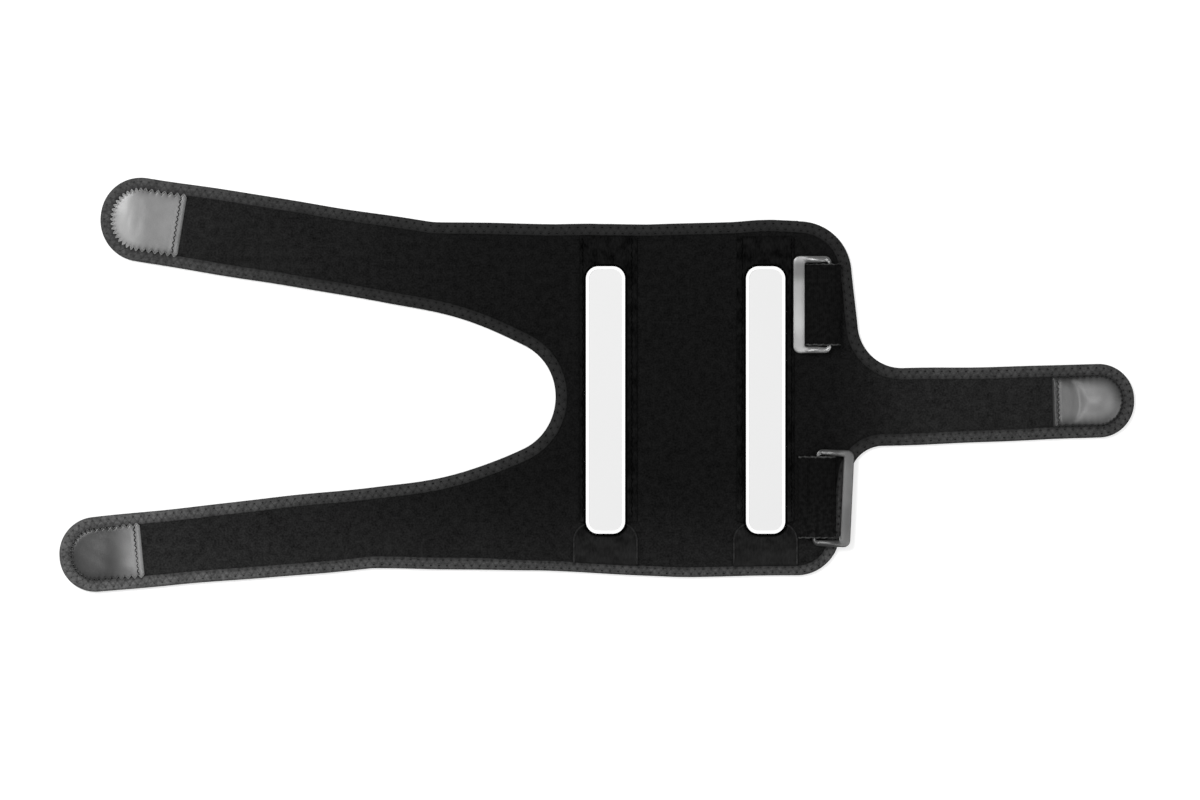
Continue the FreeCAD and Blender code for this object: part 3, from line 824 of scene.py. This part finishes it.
# %% Throws and pits
def rods(starts, ends, radius, arch, sides=6, bits=5):
    """Thread throws from starts to ends, as bent rods. Gives points, faces, one place each."""
    points, faces, places = [], [], []
    turn = np.arange(sides) * 2 * np.pi / sides
    for a, b in zip(starts, ends):
        ahead = (b - a) / np.linalg.norm(b - a)
        side = np.array([-ahead[1], ahead[0], 0.0])
        side /= np.linalg.norm(side)
        up = np.cross(ahead, side) * np.sign(np.cross(ahead, side)[2])
        first = len(points)
        for k in range(bits):
            t = k / (bits - 1)
            centre = a + (b - a) * t + up * arch * np.sin(np.pi * t)
            thick = radius * (0.55 + 0.45 * np.sin(np.pi * t) ** 0.5)
            points += [centre + thick * (np.cos(w) * side + np.sin(w) * up) for w in turn]
        last = first + sides * (bits - 1)
        mine = strips(first, sides, bits) + [list(range(first, first + sides)),
                                             list(range(last, last + sides))[::-1]]
        faces += mine
        places += [(a + b) / 2] * len(mine)
    return np.array(points), faces, np.array(places)


def pits(centres, radius, height):
    """Small dark domes at needle points, painted shade for their holes."""
    points, faces, places = [], [], []
    turn = np.arange(8) * np.pi / 4
    for c in centres:
        first = len(points)
        points += [c + np.array([radius * np.cos(w), radius * np.sin(w), 0]) for w in turn]
        points.append(c + np.array([0, 0, height]))
        mine = [[first + k, first + (k + 1) % 8, first + 8] for k in range(8)]
        faces += mine
        places += [c] * 8
    return np.array(points), faces, np.array(places)


# %% [markdown]
# The outer and inner needle points are half a stitch apart, which makes the zigzag.
# The throws below are the same ones mirrored, as both faces are sewn at once.

# %% Thread
NEEDLE_Z = (3.30, 3.36)                 # heights of both rows' needle points
THROW_RADIUS, THROW_ARCH = 0.27, 0.42
PIT_RADIUS, PIT_RISE, PIT_LIFT = 0.80, 0.10, 0.06
MIRROR_Z = 3.72                         # a point and its mirror image add up to this height

stops = np.arange(COUNT) * PITCH
outer = np.column_stack([on_edge(stops, ROWS[0]), np.full(COUNT, NEEDLE_Z[0])])
inner = np.column_stack([on_edge(stops + PITCH / 2, ROWS[1]), np.full(COUNT, NEEDLE_Z[1])])
throws = rods(np.concatenate([outer, inner]), np.concatenate([inner, np.roll(outer, -1, 0)]),
              THROW_RADIUS, THROW_ARCH)
zoned("zigzag", throws[0], throws[1], TAPE_THREAD, "edge_tape", groups=throws[2])
hole_shades = pits(np.concatenate([outer, inner]) + [0, 0, PIT_LIFT], PIT_RADIUS, PIT_RISE)
zoned("needle_hole_shades", hole_shades[0], hole_shades[1], PIT_SHADE, "edge_tape", groups=hole_shades[2])
below = throws[0] * [1, 1, -1] + [0, 0, MIRROR_Z]
zoned("zigzag_below", below, [f[::-1] for f in throws[1]], TAPE_THREAD, "edge_tape",
      groups=throws[2])
print("thread:", 2 * COUNT, "throws on each face")

# %% [markdown]
# ## Small cloth parts
# Each is a patch filled inside a drawn ring, with a height that depends on the distance
# to the ring. A skirt of faces round the ring turns down to what the patch is sewn on.
# Cords, piping and hems are round tubes swept along a path.

# %% Patches
def patch(name, ring, height, foot, material, slot, body, pitch=2.0):
    """A sewn patch: height(points, distance to the ring) gives its top, foot its underside."""
    cloud, triangles = filled(np.asarray(ring, float), pitch)
    off_ring = nearest(cloud, ring)
    top = np.column_stack([cloud, height(cloud, off_ring)])
    skirt = np.column_stack([ring, np.full(len(ring), foot)])
    count = len(ring)
    here = np.arange(count)
    low = len(top) + here
    after = (here + 1) % count
    sides = np.stack([low, len(top) + after, after, here], 1).tolist()
    edge = np.column_stack([np.zeros(len(top) + count), np.append(off_ring, np.zeros(count))])
    thing = mesh_object(name, np.concatenate([top, skirt]), triangles + sides, material, slot,
                        edge=edge)
    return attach(thing, body) if body else thing


def cut_sheet(ring, turned_in):
    """Works out a patch's plan size and its area with its edge turned in, and keeps neither."""
    x, y = ring[:, 0], ring[:, 1]
    area = abs(x @ np.roll(y, -1) - y @ np.roll(x, -1)) / 2
    area += turned_in * np.linalg.norm(ring - np.roll(ring, 1, 0), axis=1).sum()
    np.ptp(x) * MM
    np.ptp(y) * MM
    area * MM * MM


# %% [markdown]
# A tube is rings of points round a path, closed by a face at each end.
# Paths are drawn with few points: their corners are cut off until they are round, or they
# get new points an even step apart.

# %% Tubes and paths
def tube_mesh(path, radius, across, sides=8):
    """Points and faces of a round tube along a path; across is a way that leaves the path."""
    path = np.asarray(path, float)
    ahead = np.gradient(path, axis=0)
    ahead /= np.linalg.norm(ahead, axis=1)[:, None]
    first = np.cross(ahead, across)
    first /= np.linalg.norm(first, axis=1)[:, None]
    second = np.cross(ahead, first)
    turn = np.arange(sides) * 2 * np.pi / sides
    rows = [p + radius * (np.cos(turn)[:, None] * f + np.sin(turn)[:, None] * g)
            for p, f, g in zip(path, first, second)]
    faces = strips(0, sides, len(path))
    last = sides * (len(path) - 1)
    return np.concatenate(rows), faces + [list(range(sides))[::-1],
                                          list(range(last, last + sides))]


def tube(name, path, radius, material, slot, body, across=(0, 0, 1)):
    """A round tube as a piece that rides on a body."""
    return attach(mesh_object(name, *tube_mesh(path, radius, across), material, slot), body)


def rounded(path, times=3):
    """The open path with its corners cut off, again and again."""
    path = np.asarray(path, float)
    for _ in range(times):
        a, b = path[:-1], path[1:]
        middle = np.stack([0.75 * a + 0.25 * b, 0.25 * a + 0.75 * b], 1).reshape(-1, path.shape[1])
        path = np.concatenate([path[:1], middle, path[-1:]])
    return path


def spread(points, step, closed=True):
    """The same path with points a step apart."""
    points = np.asarray(points, float)
    if closed:
        points = np.concatenate([points, points[:1]])
    run = np.concatenate([[0], np.cumsum(np.linalg.norm(np.diff(points, axis=0), axis=1))])
    stops = np.linspace(0, run[-1], max(3, int(run[-1] / step)) + 1)
    out = np.column_stack([np.interp(stops, run, points[:, k]) for k in range(points.shape[1])])
    return out[:-1] if closed else out


# %% [markdown]
# ## Pull tabs
# A pull tab is a piece of coated cloth that covers the strap's tip, where there is no hook.
# It could be a flat patch, but the real one puffs up inside its seams and creases with use.
# So its height rises away from the border, and a few broad lumps and a crease are added.

# %% Pull tab sizes
TAB_REACH = 60.5                # tip of the strap to the tab's straight edge
TOOTH = 4.7                     # along the border, from one tooth to the next
TAB_INSET = 8.9                 # outline to the middle of the teeth
TAB_FOOT, TAB_RIM, TAB_RISE = 3.4, 3.85, 0.75
SEAM_IN = 4.5                   # straight edge to its seam
SEAM_PITCH, SEAM_SWING, SEAM_Z = 1.9, 0.8, 4.34
SEAM_RADIUS, SEAM_ARCH = 0.48, 0.05
OVERCAST_CLOTH_Z, OVERCAST_TAPE_Z, OVERCAST_ARCH = 4.62, 3.82, 0.10

# each lump of a tab: place along and across, its reach both ways, its height and its bow
LUMPS = {"upper": [(40, 1, 7, 17, 1.7, 0.0), (20, -3, 14, 14, 0.25, 0.0)],
         "lower": [(14, 9, 9, 10, 0.7, 0.0), (42, -4, 12, 13, 0.3, 0.0)],
         "middle": [(36, 1, 12, 10, 1.6, 0.0), (20, 0, 3.2, 13, -0.8, 0.022)]}
# each tab's teeth: their height, the insets of the overcasting, and the thread's radius
TEETH = {"upper": (1.15, 7.4, 10.6, 0.50), "lower": (0.9, 7.5, 10.4, 0.40),
         "middle": (0.35, 8.0, 9.8, 0.26)}


def tip_run(strap, reach):
    """The run lengths between which the edge tape goes round a strap's tip."""
    fine = np.arange(0, TOTAL, 0.25)
    along, across = strap.along(on_edge(fine, np.full(len(fine), 8.0)))
    mine = fine[(along > strap.reach - reach) & (np.abs(across) < strap.width)]
    return mine[0], mine[-1]


# %% [markdown]
# The cloth's round border is cut by the overcasting into small teeth with sharp notches.
# An absolute sine gives that shape, where a plain sine would give waves.
# The straight edge is a folded hem: a ridge with a groove where its seam runs.

# %% Pull tab cloth
def tab_cloth(name, strap, first, last, teeth):
    """A tab's cloth, with teeth round its border and a hem across the strap."""
    runs = np.linspace(first, last, teeth * 9 + 1)
    phase = (runs - first) / (last - first) * teeth
    lobe = 2 * np.abs(np.sin(np.pi * phase)) ** 0.8
    ring = on_edge(runs, TAB_INSET + TEETH[name][0] * (1 - lobe))
    hem = spread([ring[-1], ring[0]], 0.8, closed=False)[1:-1]
    start = strap.reach - TAB_REACH

    def height(cloud, off_ring):
        along, across = strap.along(cloud)
        along = along - start
        level = TAB_RIM + TAB_RISE * (1 - np.exp(-off_ring / 1.8))
        level += 0.25 * np.exp(-((along - 2.2) / 1.6) ** 2)
        level -= 0.50 * np.exp(-((along - SEAM_IN) / 0.7) ** 2)
        for a, b, wide, high, much, bow in LUMPS[name]:
            off = along - a + bow * across ** 2
            level += much * np.exp(-(off / wide) ** 2 - ((across - b) / high) ** 2)
        return level + 0.05 * np.sin(along / 2.9 + across / 5.1) * np.sin(across / 3.7)

    tab = patch(f"{name}_pull_tab_cloth", np.concatenate([ring, hem]), height, TAB_FOOT,
                TABS[name], "pull_tab", f"{name}_tip", 1.5)
    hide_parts(f"{name}_pull_tab")


def tab_thread(name, part, starts, ends, radius, arch, material):
    """Throws of thread on a pull tab, as one piece."""
    points, faces, _ = rods(starts, ends, radius, arch)
    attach(mesh_object(f"{name}_{part}", points, faces, material, "pull_tab"), f"{name}_tip")


# %% [markdown]
# The overcasting is a zigzag from just inside the border to the tape outside it.
# On the long straps its thread has the cloth's own finish, painted highlight and all, and on the
# short one it is dark.
# The hem's seam is a narrow dark zigzag.

# %% Pull tabs
for name, strap in (("upper", UPPER), ("lower", LOWER), ("middle", MIDDLE)):
    first, last = tip_run(strap, TAB_REACH)
    teeth = int(round((last - first) / TOOTH))
    tab_cloth(name, strap, first, last, teeth)

    _, out_at, in_at, thread_radius = TEETH[name]
    ways_in = np.where(np.arange(2 * teeth + 1) % 2, out_at, in_at)
    zigzag = np.column_stack([on_edge(np.linspace(first, last, 2 * teeth + 1), ways_in),
                              np.where(ways_in == in_at, OVERCAST_CLOTH_Z, OVERCAST_TAPE_Z)])
    tab_thread(name, "overcast", zigzag[:-1], zigzag[1:], thread_radius, OVERCAST_ARCH,
               THREAD if name == "middle" else TABS[name])

    start = strap.reach - TAB_REACH
    row = np.arange(-strap.width / 2 + 11, strap.width / 2 - 10, SEAM_PITCH)
    seam = np.array([[*strap.at(start + SEAM_IN + SEAM_SWING * (-1) ** k, b), SEAM_Z]
                     for k, b in enumerate(row)])
    tab_thread(name, "hem_stitches", seam[:-1], seam[1:], SEAM_RADIUS, SEAM_ARCH, THREAD)
    print(name, "pull tab:", teeth, "teeth")

# %% [markdown]
# ## Stays
# A stay is moulded in one piece of white plastic: a flange round a raised face with a rim.
# The flange is painted black as painted shade, and the rim whiter as a painted highlight.
# Its CAD shape is right as it is, so only its finish is given here.
# Each face of the mesh takes its finish from its height: rim, face or flange.

# %% Stays
RIM_ABOVE, FLANGE_BELOW = 6.75, 5.65


def stay_part(heights):
    """Which finish a face has: 1 for the rim, 2 for the flange, 0 for the face."""
    if min(heights) > RIM_ABOVE:
        return 1
    return 2 if max(heights) < FLANGE_BELOW else 0


def dress_stay(stay):
    """Gives the CAD's stay its three finishes, its flat map and its slot."""
    stay.data.materials.clear()
    # the rim takes a painted highlight and the flange painted shade
    for material in (STAY, RIM_HIGHLIGHT, DARK_THREAD_AND_SHADE):
        stay.data.materials.append(material)
    for face in stay.data.polygons:
        face.material_index = stay_part([stay.data.vertices[v].co.z / MM for v in face.vertices])
    flat_map(stay.data)
    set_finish(stay, "stay_plastic")


def stay_ring(side, grow, low):
    """The stay's face outline moved out by grow, open below the height low, as a path."""
    x, half, end, r = side * STAY_X, STAY_HALF + grow, STAY_END + grow, STAY_ROUND + grow
    turn = np.radians(np.arange(0, 91, 7.5))
    right = np.column_stack([x + half - r + r * np.cos(turn), end - r + r * np.sin(turn)])
    left = np.column_stack([2 * x - right[::-1, 0], right[::-1, 1]])
    return np.concatenate([[(x + half, low)], right, left, [(x - half, low)]])


def off_stay(side, points):
    """Distance outside the stay's face."""
    q = np.abs(points - [side * STAY_X, 0]) - [STAY_HALF - STAY_ROUND, STAY_END - STAY_ROUND]
    return np.linalg.norm(np.maximum(q, 0), axis=1) - STAY_ROUND


# %% [markdown]
# ## Pockets
# The pocket is a band of cloth with a window for the stay's face.
# Its lip rolls over the stay's flange, so the stay can slide but not lift out.
# The band's height is a profile of the distance to the stay, so the lip has an even roll.

# %% Pocket band
LIP = ((0, 5.95), (0.8, 6.3), (1.6, 6.4), (3.2, 6.0), (4.6, 4.7), (6.0, 4.4))
BAND_FLAT, BAND_FOOT = 4.4, 3.45
WINDOW_GAP = 0.35               # between the stay's face and the band's window
BAND_TURN = 2.0                 # how much of the band's edge is turned in


def band_height(side, points):
    """Height of the band's face, with its lip round the stay and flat above the stay."""
    lip = np.interp(off_stay(side, points), *zip(*LIP))
    above = np.clip((points[:, 1] - STAY_END - 4) / 6, 0, 1)
    lip = lip * (1 - above) + np.minimum(lip, BAND_FLAT) * above
    return lip + 0.06 * np.sin(points[:, 1] / 7.3) * np.sin(points[:, 0] / 2.9)


def pocket_band(name, side, shift):
    """The band, with its middle moved to the right of the stay's by shift."""
    right, left = side * STAY_X + BAND_HALF + shift, side * STAY_X - BAND_HALF + shift
    corners = [(right, MOUTH_Y), (right, BAND_END), (left, BAND_END), (left, MOUTH_Y)]
    ring = spread(np.concatenate([corners, stay_ring(side, WINDOW_GAP, MOUTH_Y)[::-1]]), 1.2)
    band = patch(f"{name}_pocket_band", ring, lambda cloud, _: band_height(side, cloud),
                 BAND_FOOT, BAND, "pocket_cloth", f"{name}_wing", 1.6)
    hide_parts(f"{name}_stay_pocket")
    cut_sheet(ring, BAND_TURN)


# %% [markdown]
# A black tube hugs the stay's face as painted shade for the gap round it,
# and a zigzag of dark thread runs down both sides.
# The tube runs along the stay's own outline, so it follows every change of it.
# The left band lies a little off its stay's middle, and its stitches much less so.

# %% Pockets
SHADE_TUBE_OUT, SHADE_TUBE_Z, SHADE_TUBE_RADIUS = 1.0, 6.15, 0.68
# each side row of stitches: its place from the stay's middle, and its share of the shift
SIDE_ROWS = ((-17.4, 0.2), (18.6, 0.1))
SIDE_PITCH, SIDE_SWING, SIDE_RADIUS, SIDE_ARCH = 3.0, 0.8, 0.28, 0.12


def pocket_shade_tube(name, side):
    """The painted shade tube, along the stay's own outline moved out a little."""
    path = spread(stay_ring(side, SHADE_TUBE_OUT, MOUTH_Y), 1.5, closed=False)
    # painted shade: a black tube in the gap round the stay's face
    tube(f"{name}_pocket_shade_tube", np.column_stack([path, np.full(len(path), SHADE_TUBE_Z)]),
         SHADE_TUBE_RADIUS, DARK_THREAD_AND_SHADE, "pocket_cloth", f"{name}_wing")


def pocket_stitches(name, side, shift):
    """Both rows of the band's stitches, as one piece."""
    starts, ends = [], []
    ys = np.arange(MOUTH_Y + 3, BAND_END - 1, SIDE_PITCH)
    for middle, share in SIDE_ROWS:
        xs = side * STAY_X + (middle + shift * share) + SIDE_SWING * (np.arange(len(ys)) % 2)
        plan = np.column_stack([xs, ys])
        zigzag = np.column_stack([plan, band_height(side, plan) + 0.05])
        starts.append(zigzag[:-1])
        ends.append(zigzag[1:])
    points, faces, _ = rods(np.concatenate(starts), np.concatenate(ends), SIDE_RADIUS,
                            SIDE_ARCH)
    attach(mesh_object(f"{name}_pocket_stitches", points, faces, DARK_THREAD_AND_SHADE, "pocket_cloth"),
            f"{name}_wing")


for name, side, shift in (("left", -1, 2.2), ("right", 1, 0.0)):
    dress_stay(NODES[f"{name}_stay"])
    pocket_band(name, side, shift)
    pocket_shade_tube(name, side)
    pocket_stitches(name, side, shift)
print("stays and pockets: 2 of each")

# %% [markdown]
# ## Tuck flaps
# Below each pocket's mouth a round-shouldered flap is sewn to the wrap's lower edge.
# It is cut out round the stay's end and reaches down to the edge tape.
# It bends at its seam: lifting it lets the stay slide down and out.

# %% Tuck flap outline
NOTCH_GAP = 1.9                 # between the stay's end and the flap's notch
TAPE_INNER = 8.6                # inset of the tape's inner edge


def flap_sides(side):
    """The flap's right and left sides, each from the seam over its shoulder."""
    x, r = side * STAY_X, FLAP_ROUND
    turn = np.radians(np.arange(0, 91, 9))
    shoulder = np.column_stack([x + FLAP_HALF - r + r * np.cos(turn),
                                FLAP_TOP - r + r * np.sin(turn)])
    right = np.concatenate([[(x + FLAP_HALF, SEAM_Y)], shoulder])
    return right, np.column_stack([2 * x - right[::-1, 0], right[::-1, 1]])


def flap_outline(side, right, left):
    """The whole outline, with its lower edge let down to the inner edge of the tape."""
    room = stay_ring(side, NOTCH_GAP, -FLAP_TOP)
    notch = np.column_stack([room[:, 0], -room[:, 1]])
    ring = spread(np.concatenate([right, notch, left]), 1.1)
    below = (EDGE[:, 1] < -110) & (np.abs(EDGE[:, 0] - side * STAY_X) < 40)
    tape = (EDGE + WAY * TAPE_INNER)[below]
    tape = tape[np.argsort(tape[:, 0])]
    foot = np.clip((FOOT_Y - ring[:, 1]) / (FOOT_Y - SEAM_Y), 0, 1)
    ring[:, 1] += foot * (np.interp(ring[:, 0], tape[:, 0], tape[:, 1]) - SEAM_Y)
    return ring


# %% [markdown]
# The flap's cloth has a low ridge along its edge, where the hem is turned under.
# The hem itself is a thin tube along each side, paler than the cloth.

# %% Tuck flaps
FLAP_LEVEL, FLAP_FOOT, HEM_LEVEL, HEM_RADIUS = 4.30, 3.75, 4.35, 0.75
FLAP_TURN = 0.75                # how much of the flap's edge is turned in


def flap_height(cloud, off_ring):
    """Height of the flap's face, with its ridge and a slight waviness."""
    level = FLAP_LEVEL + 0.35 * np.exp(-((off_ring - 1.3) / 0.8) ** 2)
    return level + 0.05 * np.sin(cloud[:, 0] / 5.3 + cloud[:, 1] / 4.1)


for name, side in (("left", -1), ("right", 1)):
    x = side * STAY_X
    right, left = flap_sides(side)
    ring = flap_outline(side, right, left)
    flap = patch(f"{name}_flap_cloth", ring, flap_height, FLAP_FOOT, BAND, "pocket_cloth", None,
                 1.6)
    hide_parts(f"{name}_tuck_flap")
    cut_sheet(ring, FLAP_TURN)
    cloths = [flap]
    for part, line in (("outer", right), ("inner", left[::-1])):
        line = line + [-0.5 * np.sign(line[0][0] - x), -0.3]
        line = spread(line, 1.5, closed=False)
        path = np.column_stack([line, np.full(len(line), HEM_LEVEL)])
        cloths.append(mesh_object(f"{name}_flap_hem_{part}",
                                  *tube_mesh(path, HEM_RADIUS, (0, 0, 1)), HEM, "pocket_cloth"))
    for cloth in cloths:
        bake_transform(cloth)

# %% [markdown]
# ## Rings
# Each ring is a metal rod bent to a rectangle, with one side flattened to a broad bar.
# Its section is a squashed circle swept round the frame between two rounded rectangles.
# A power below 1 flattens the section's top, most of all on the bar, so it shines evenly.

# %% Ring shape
PIN_Z = 6.35                            # height of the thin bar's axis
RING_END, RING_HALF, RING_ROUND = 26.5, 35.5, 5.0
PIN_HALF, OPENING_HALF, OPENING_ROUND = 1.5, 30.5, 1.1
ROD_HALF = 1.3                          # half the rod's thickness
SEAT_GAP = 0.3                          # under the broad bar


def loop_of(low, high, half, radius, bits=7):
    """A rounded rectangle as an even number of points on each side and corner."""
    points = []
    for cx, cy, at in ((high - radius, half - radius, 0), (low + radius, half - radius, 90),
                       (low + radius, radius - half, 180), (high - radius, radius - half, 270)):
        points += [np.array([cx, cy]) + radius * turned(at + 90 * k / bits)
                   for k in range(bits + 1)]
    points.append(points[0])
    out = []
    for a, b in zip(points[:-1], points[1:]):
        long_side = np.linalg.norm(b - a) > 6
        out += [a + (b - a) * k / 12 for k in range(12)] if long_side else [a]
    return np.array(out)


def rod_rows(slot):
    """The rod's surface, flat, as rows round the ring. slot is where the broad bar starts."""
    outer = loop_of(-PIN_HALF, RING_END, RING_HALF, RING_ROUND)
    inner = loop_of(PIN_HALF, slot, OPENING_HALF, OPENING_ROUND)
    middle, half = (outer + inner) / 2, (outer - inner) / 2
    turn = np.arange(24) * np.pi / 12
    arm = (np.abs(middle[:, 1]) > 29) & (middle[:, 0] > 3) & (middle[:, 0] < 20)
    crown = np.where(arm, 0.75 * np.sin(np.pi * (middle[:, 0] - 3) / 17), 0.0)
    power = 0.85 - 0.35 * np.clip((middle[:, 0] - 17) / 4, 0, 1)
    rows = []
    for c, s in zip(np.cos(turn).round(9), np.sin(turn).round(9)):
        out_by, up_by = np.sign(c) * abs(c) ** power, np.sign(s) * abs(s) ** power
        rows.append(np.column_stack([middle + half * out_by[:, None],
                                     ROD_HALF * up_by + crown]))
    return rows


# %% [markdown]
# The thin bar is held by its keeper, and the broad bar rests on the cloth, so a ring tips.
# The upper ring is turned back over the wrap, and the lower one points outwards, askew.
# Each is tipped until its broad bar is SEAT_GAP above what lies under it.

# %% Rings
PINS = {"upper": (105.0, 69.6), "lower": (95.2, -71.0)}     # each thin bar's middle


def ring_rod(name, seat, heading, slot):
    """A ring that points at heading, with its broad bar just above the height seat."""
    rows = rod_rows(slot)
    points = np.concatenate(rows + rows[:1])
    tip = np.arctan2(PIN_Z - ROD_HALF - seat - SEAT_GAP, RING_END)
    x, z = points[:, 0].copy(), points[:, 2].copy()
    points[:, 0] = x * np.cos(tip) + z * np.sin(tip)
    points[:, 2] = z * np.cos(tip) - x * np.sin(tip) + PIN_Z
    way = turned(heading)
    points[:, :2] = (points[:, :1] * way + points[:, 1:2] * np.array([-way[1], way[0]])
                     + PINS[name])
    ring = mesh_object(f"{name}_ring_rod", points, strips(0, len(rows[0]), len(rows) + 1),
                       RINGS[name], "ring_metal")
    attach(ring, f"{name}_ring")
    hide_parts(f"{name}_ring")


ring_rod("upper", seat=4.5, heading=180.0, slot=17.9)
ring_rod("lower", seat=3.6, heading=-2.7, slot=18.9)
print("rings: 2, with pins at", PINS)

# %% [markdown]
# ## Keepers
# A keeper is a loop of webbing, sewn flat at one end and folded round the ring's thin bar.
# Its side view is one path with its corners cut off, and its width is a row of stations.
# The woven edges are a little thicker than the middle, as selvedges are.

# %% Keeper shape
SEWN = {"upper": 87.1, "lower": 82.4}           # sewn end
FOLD = {"upper": 113.5, "lower": 109.9}         # folded end
WEB_HALF = 0.42                                 # half the webbing's thickness
WEB_EDGES = (28.6, 29.2, 29.4)                  # where the selvedge thickens, and its end
WEB_THICK = (1, 1, 1.25, 1.0, 0.4)
STATIONS = np.concatenate([[-29.4, -29.2, -28.6], np.linspace(-27.4, 27.4, 23), WEB_EDGES])


def keeper_path(name):
    """The keeper's middle line from the side, as (x, z)."""
    sewn, fold, pin = SEWN[name], FOLD[name], PINS[name][0]
    return rounded([(sewn, 4.10), (fold - 2.4, 4.10), (fold - 0.5, 4.4), (fold - 0.5, 6.6),
                    (pin + 3.4, 8.6), (pin - 3.4, 8.6), (sewn + 5.5, 5.05), (sewn, 5.0)])


def keeper_webbing(name, path):
    """The webbing's closed shape: the path thickened, at each station across the keeper."""
    pin, y = PINS[name]
    ahead = np.gradient(path, axis=0)
    ahead /= np.linalg.norm(ahead, axis=1)[:, None]
    side = np.column_stack([-ahead[:, 1], ahead[:, 0]])
    rows = []
    for station in STATIONS:
        thick = WEB_HALF * np.interp(abs(station), (0, 27.4, *WEB_EDGES), WEB_THICK)
        sag = 0.10 * np.sin(station / 6.0 + pin) * np.clip((path[:, 1] - 5) / 3, 0, 1)
        loop = np.concatenate([path + thick * side, (path - thick * side)[::-1]])
        loop[:, 1] += np.concatenate([sag, sag[::-1]])
        rows.append(np.column_stack([loop[:, 0], np.full(len(loop), y + station), loop[:, 1]]))
    count, last = len(rows[0]), len(rows[0]) * (len(rows) - 1)
    ends = [list(range(count))[::-1], list(range(last, last + count))]
    keeper = mesh_object(f"{name}_keeper_webbing", np.concatenate(rows),
                         strips(0, count, len(rows)) + ends, WEBBING, "webbing")
    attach(keeper, "right_wing")
    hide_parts(f"{name}_keeper")


# %% [markdown]
# The selvedges are frayed uneven lines on the keepers' edges, painted pale as a painted highlight.
# Each is a thin tube that wanders a little, along the keeper's top ply only.

# %% Keepers
SELVEDGE_RADIUS = {("upper", "top"): 0.40, ("upper", "bottom"): 0.65,
                   ("lower", "top"): 0.75, ("lower", "bottom"): 0.55}


def keeper_selvedge(name, edge, station, path):
    """One frayed edge of a keeper's top ply."""
    pin, y = PINS[name]
    top_ply = spread(path[len(path) // 2 - 8:], 0.8, closed=False)
    x = top_ply[:, 0]
    frayed = 0.22 * np.sin(x * 1.1 + pin) + 0.15 * np.sin(x * 2.9)
    line = np.column_stack([x, y + station + frayed, top_ply[:, 1] + 0.45])
    tube(f"{name}_keeper_selvedge_{edge}", line, SELVEDGE_RADIUS[name, edge], SELVEDGE_HIGHLIGHT,
         "webbing", "right_wing", across=(0, 1, 0))


for name in ("upper", "lower"):
    path = keeper_path(name)
    keeper_webbing(name, path)
    keeper_selvedge(name, "top", WEB_EDGES[-1], path)
    keeper_selvedge(name, "bottom", -WEB_EDGES[-1], path)
print("keepers: 2, with", len(STATIONS), "stations across each")

# %% [markdown]
# ## Hook pads
# A pad of hook tape is sewn under each strap's tip and grips the loop cover.
# The CAD pads have the right shape, so they stay and only get their finish.

# %% Hook pads
for name in ("upper", "lower", "middle"):
    pad = NODES[f"{name}_hook_pad"]
    pad.data.materials.clear()
    pad.data.materials.append(HOOK)
    flat_map(pad.data)
    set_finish(pad, "hook_tape")
print("hook pads: 3")

# %% [markdown]
# ## Table and light
# The wrap lies on a white table.
# More lamps would wash out the black cloth, so the table itself looks brighter to the
# camera, by a little emission that other rays don't see, and it still keeps the shadow.
# A broad lamp from the upper left models the form, a weaker one fills the shade, and one
# high above gives metal and coated cloth their sheen.

# %% Table and light
def paint_table(flat):
    """Emission for camera rays only."""
    path = flat.new("ShaderNodeLightPath")
    return {"Emission Color": path * 0.30}


TABLE_HALF, TABLE_Z = 3000, -0.3
table = mesh_object("table", [(x * TABLE_HALF, y * TABLE_HALF, TABLE_Z)
                              for x, y in ((-1, -1), (1, -1), (1, 1), (-1, 1))], [[0, 1, 2, 3]],
                    finish("table", paint_table, Base_Color=(0.86, 0.86, 0.86), Roughness=1.0,
                           Specular_IOR_Level=0.0, Emission_Strength=1.0), "table")
del table["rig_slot"]


def lamp(name, place_at, size, watts, aim=(-0.06, 0, 0)):
    """A round area lamp, placed and aimed in metres."""
    light = bpy.data.lights.new(name, "AREA")
    light.shape, light.size, light.energy = "DISK", size, watts
    thing = bpy.data.objects.new(name, light)
    thing.location = place_at
    thing.rotation_euler = (Vector(aim) - Vector(place_at)).to_track_quat("-Z", "Y").to_euler()
    bpy.context.scene.collection.objects.link(thing)


lamp("key", (-1.6, 1.3, 2.2), 1.5, 55)
lamp("fill", (1.7, -0.8, 2.4), 1.6, 22)
lamp("sheen", (-0.06, 0, 4.6), 1.0, 28)
world = bpy.data.worlds.new("world")
world.use_nodes = True
sky = world.node_tree.nodes["Background"]
sky.inputs["Color"].default_value = (1, 1, 1, 1)
sky.inputs["Strength"].default_value = 0.42

# %% [markdown]
# ## Camera
# The wrap is seen from straight above, from far away with a long lens.
# That keeps its outline free of perspective, as a shorter lens near the table wouldn't.

# %% Camera
scene = bpy.context.scene
scene.world = world
scene.view_settings.view_transform = "Standard"
camera = bpy.data.objects.new("camera", bpy.data.cameras.new("camera"))
camera.data.lens, camera.data.sensor_width, camera.data.clip_end = 150, 36, 20
camera.location = (-0.0624, 0, 3.65 + TOP * MM)
scene.collection.objects.link(camera)
scene.camera = camera
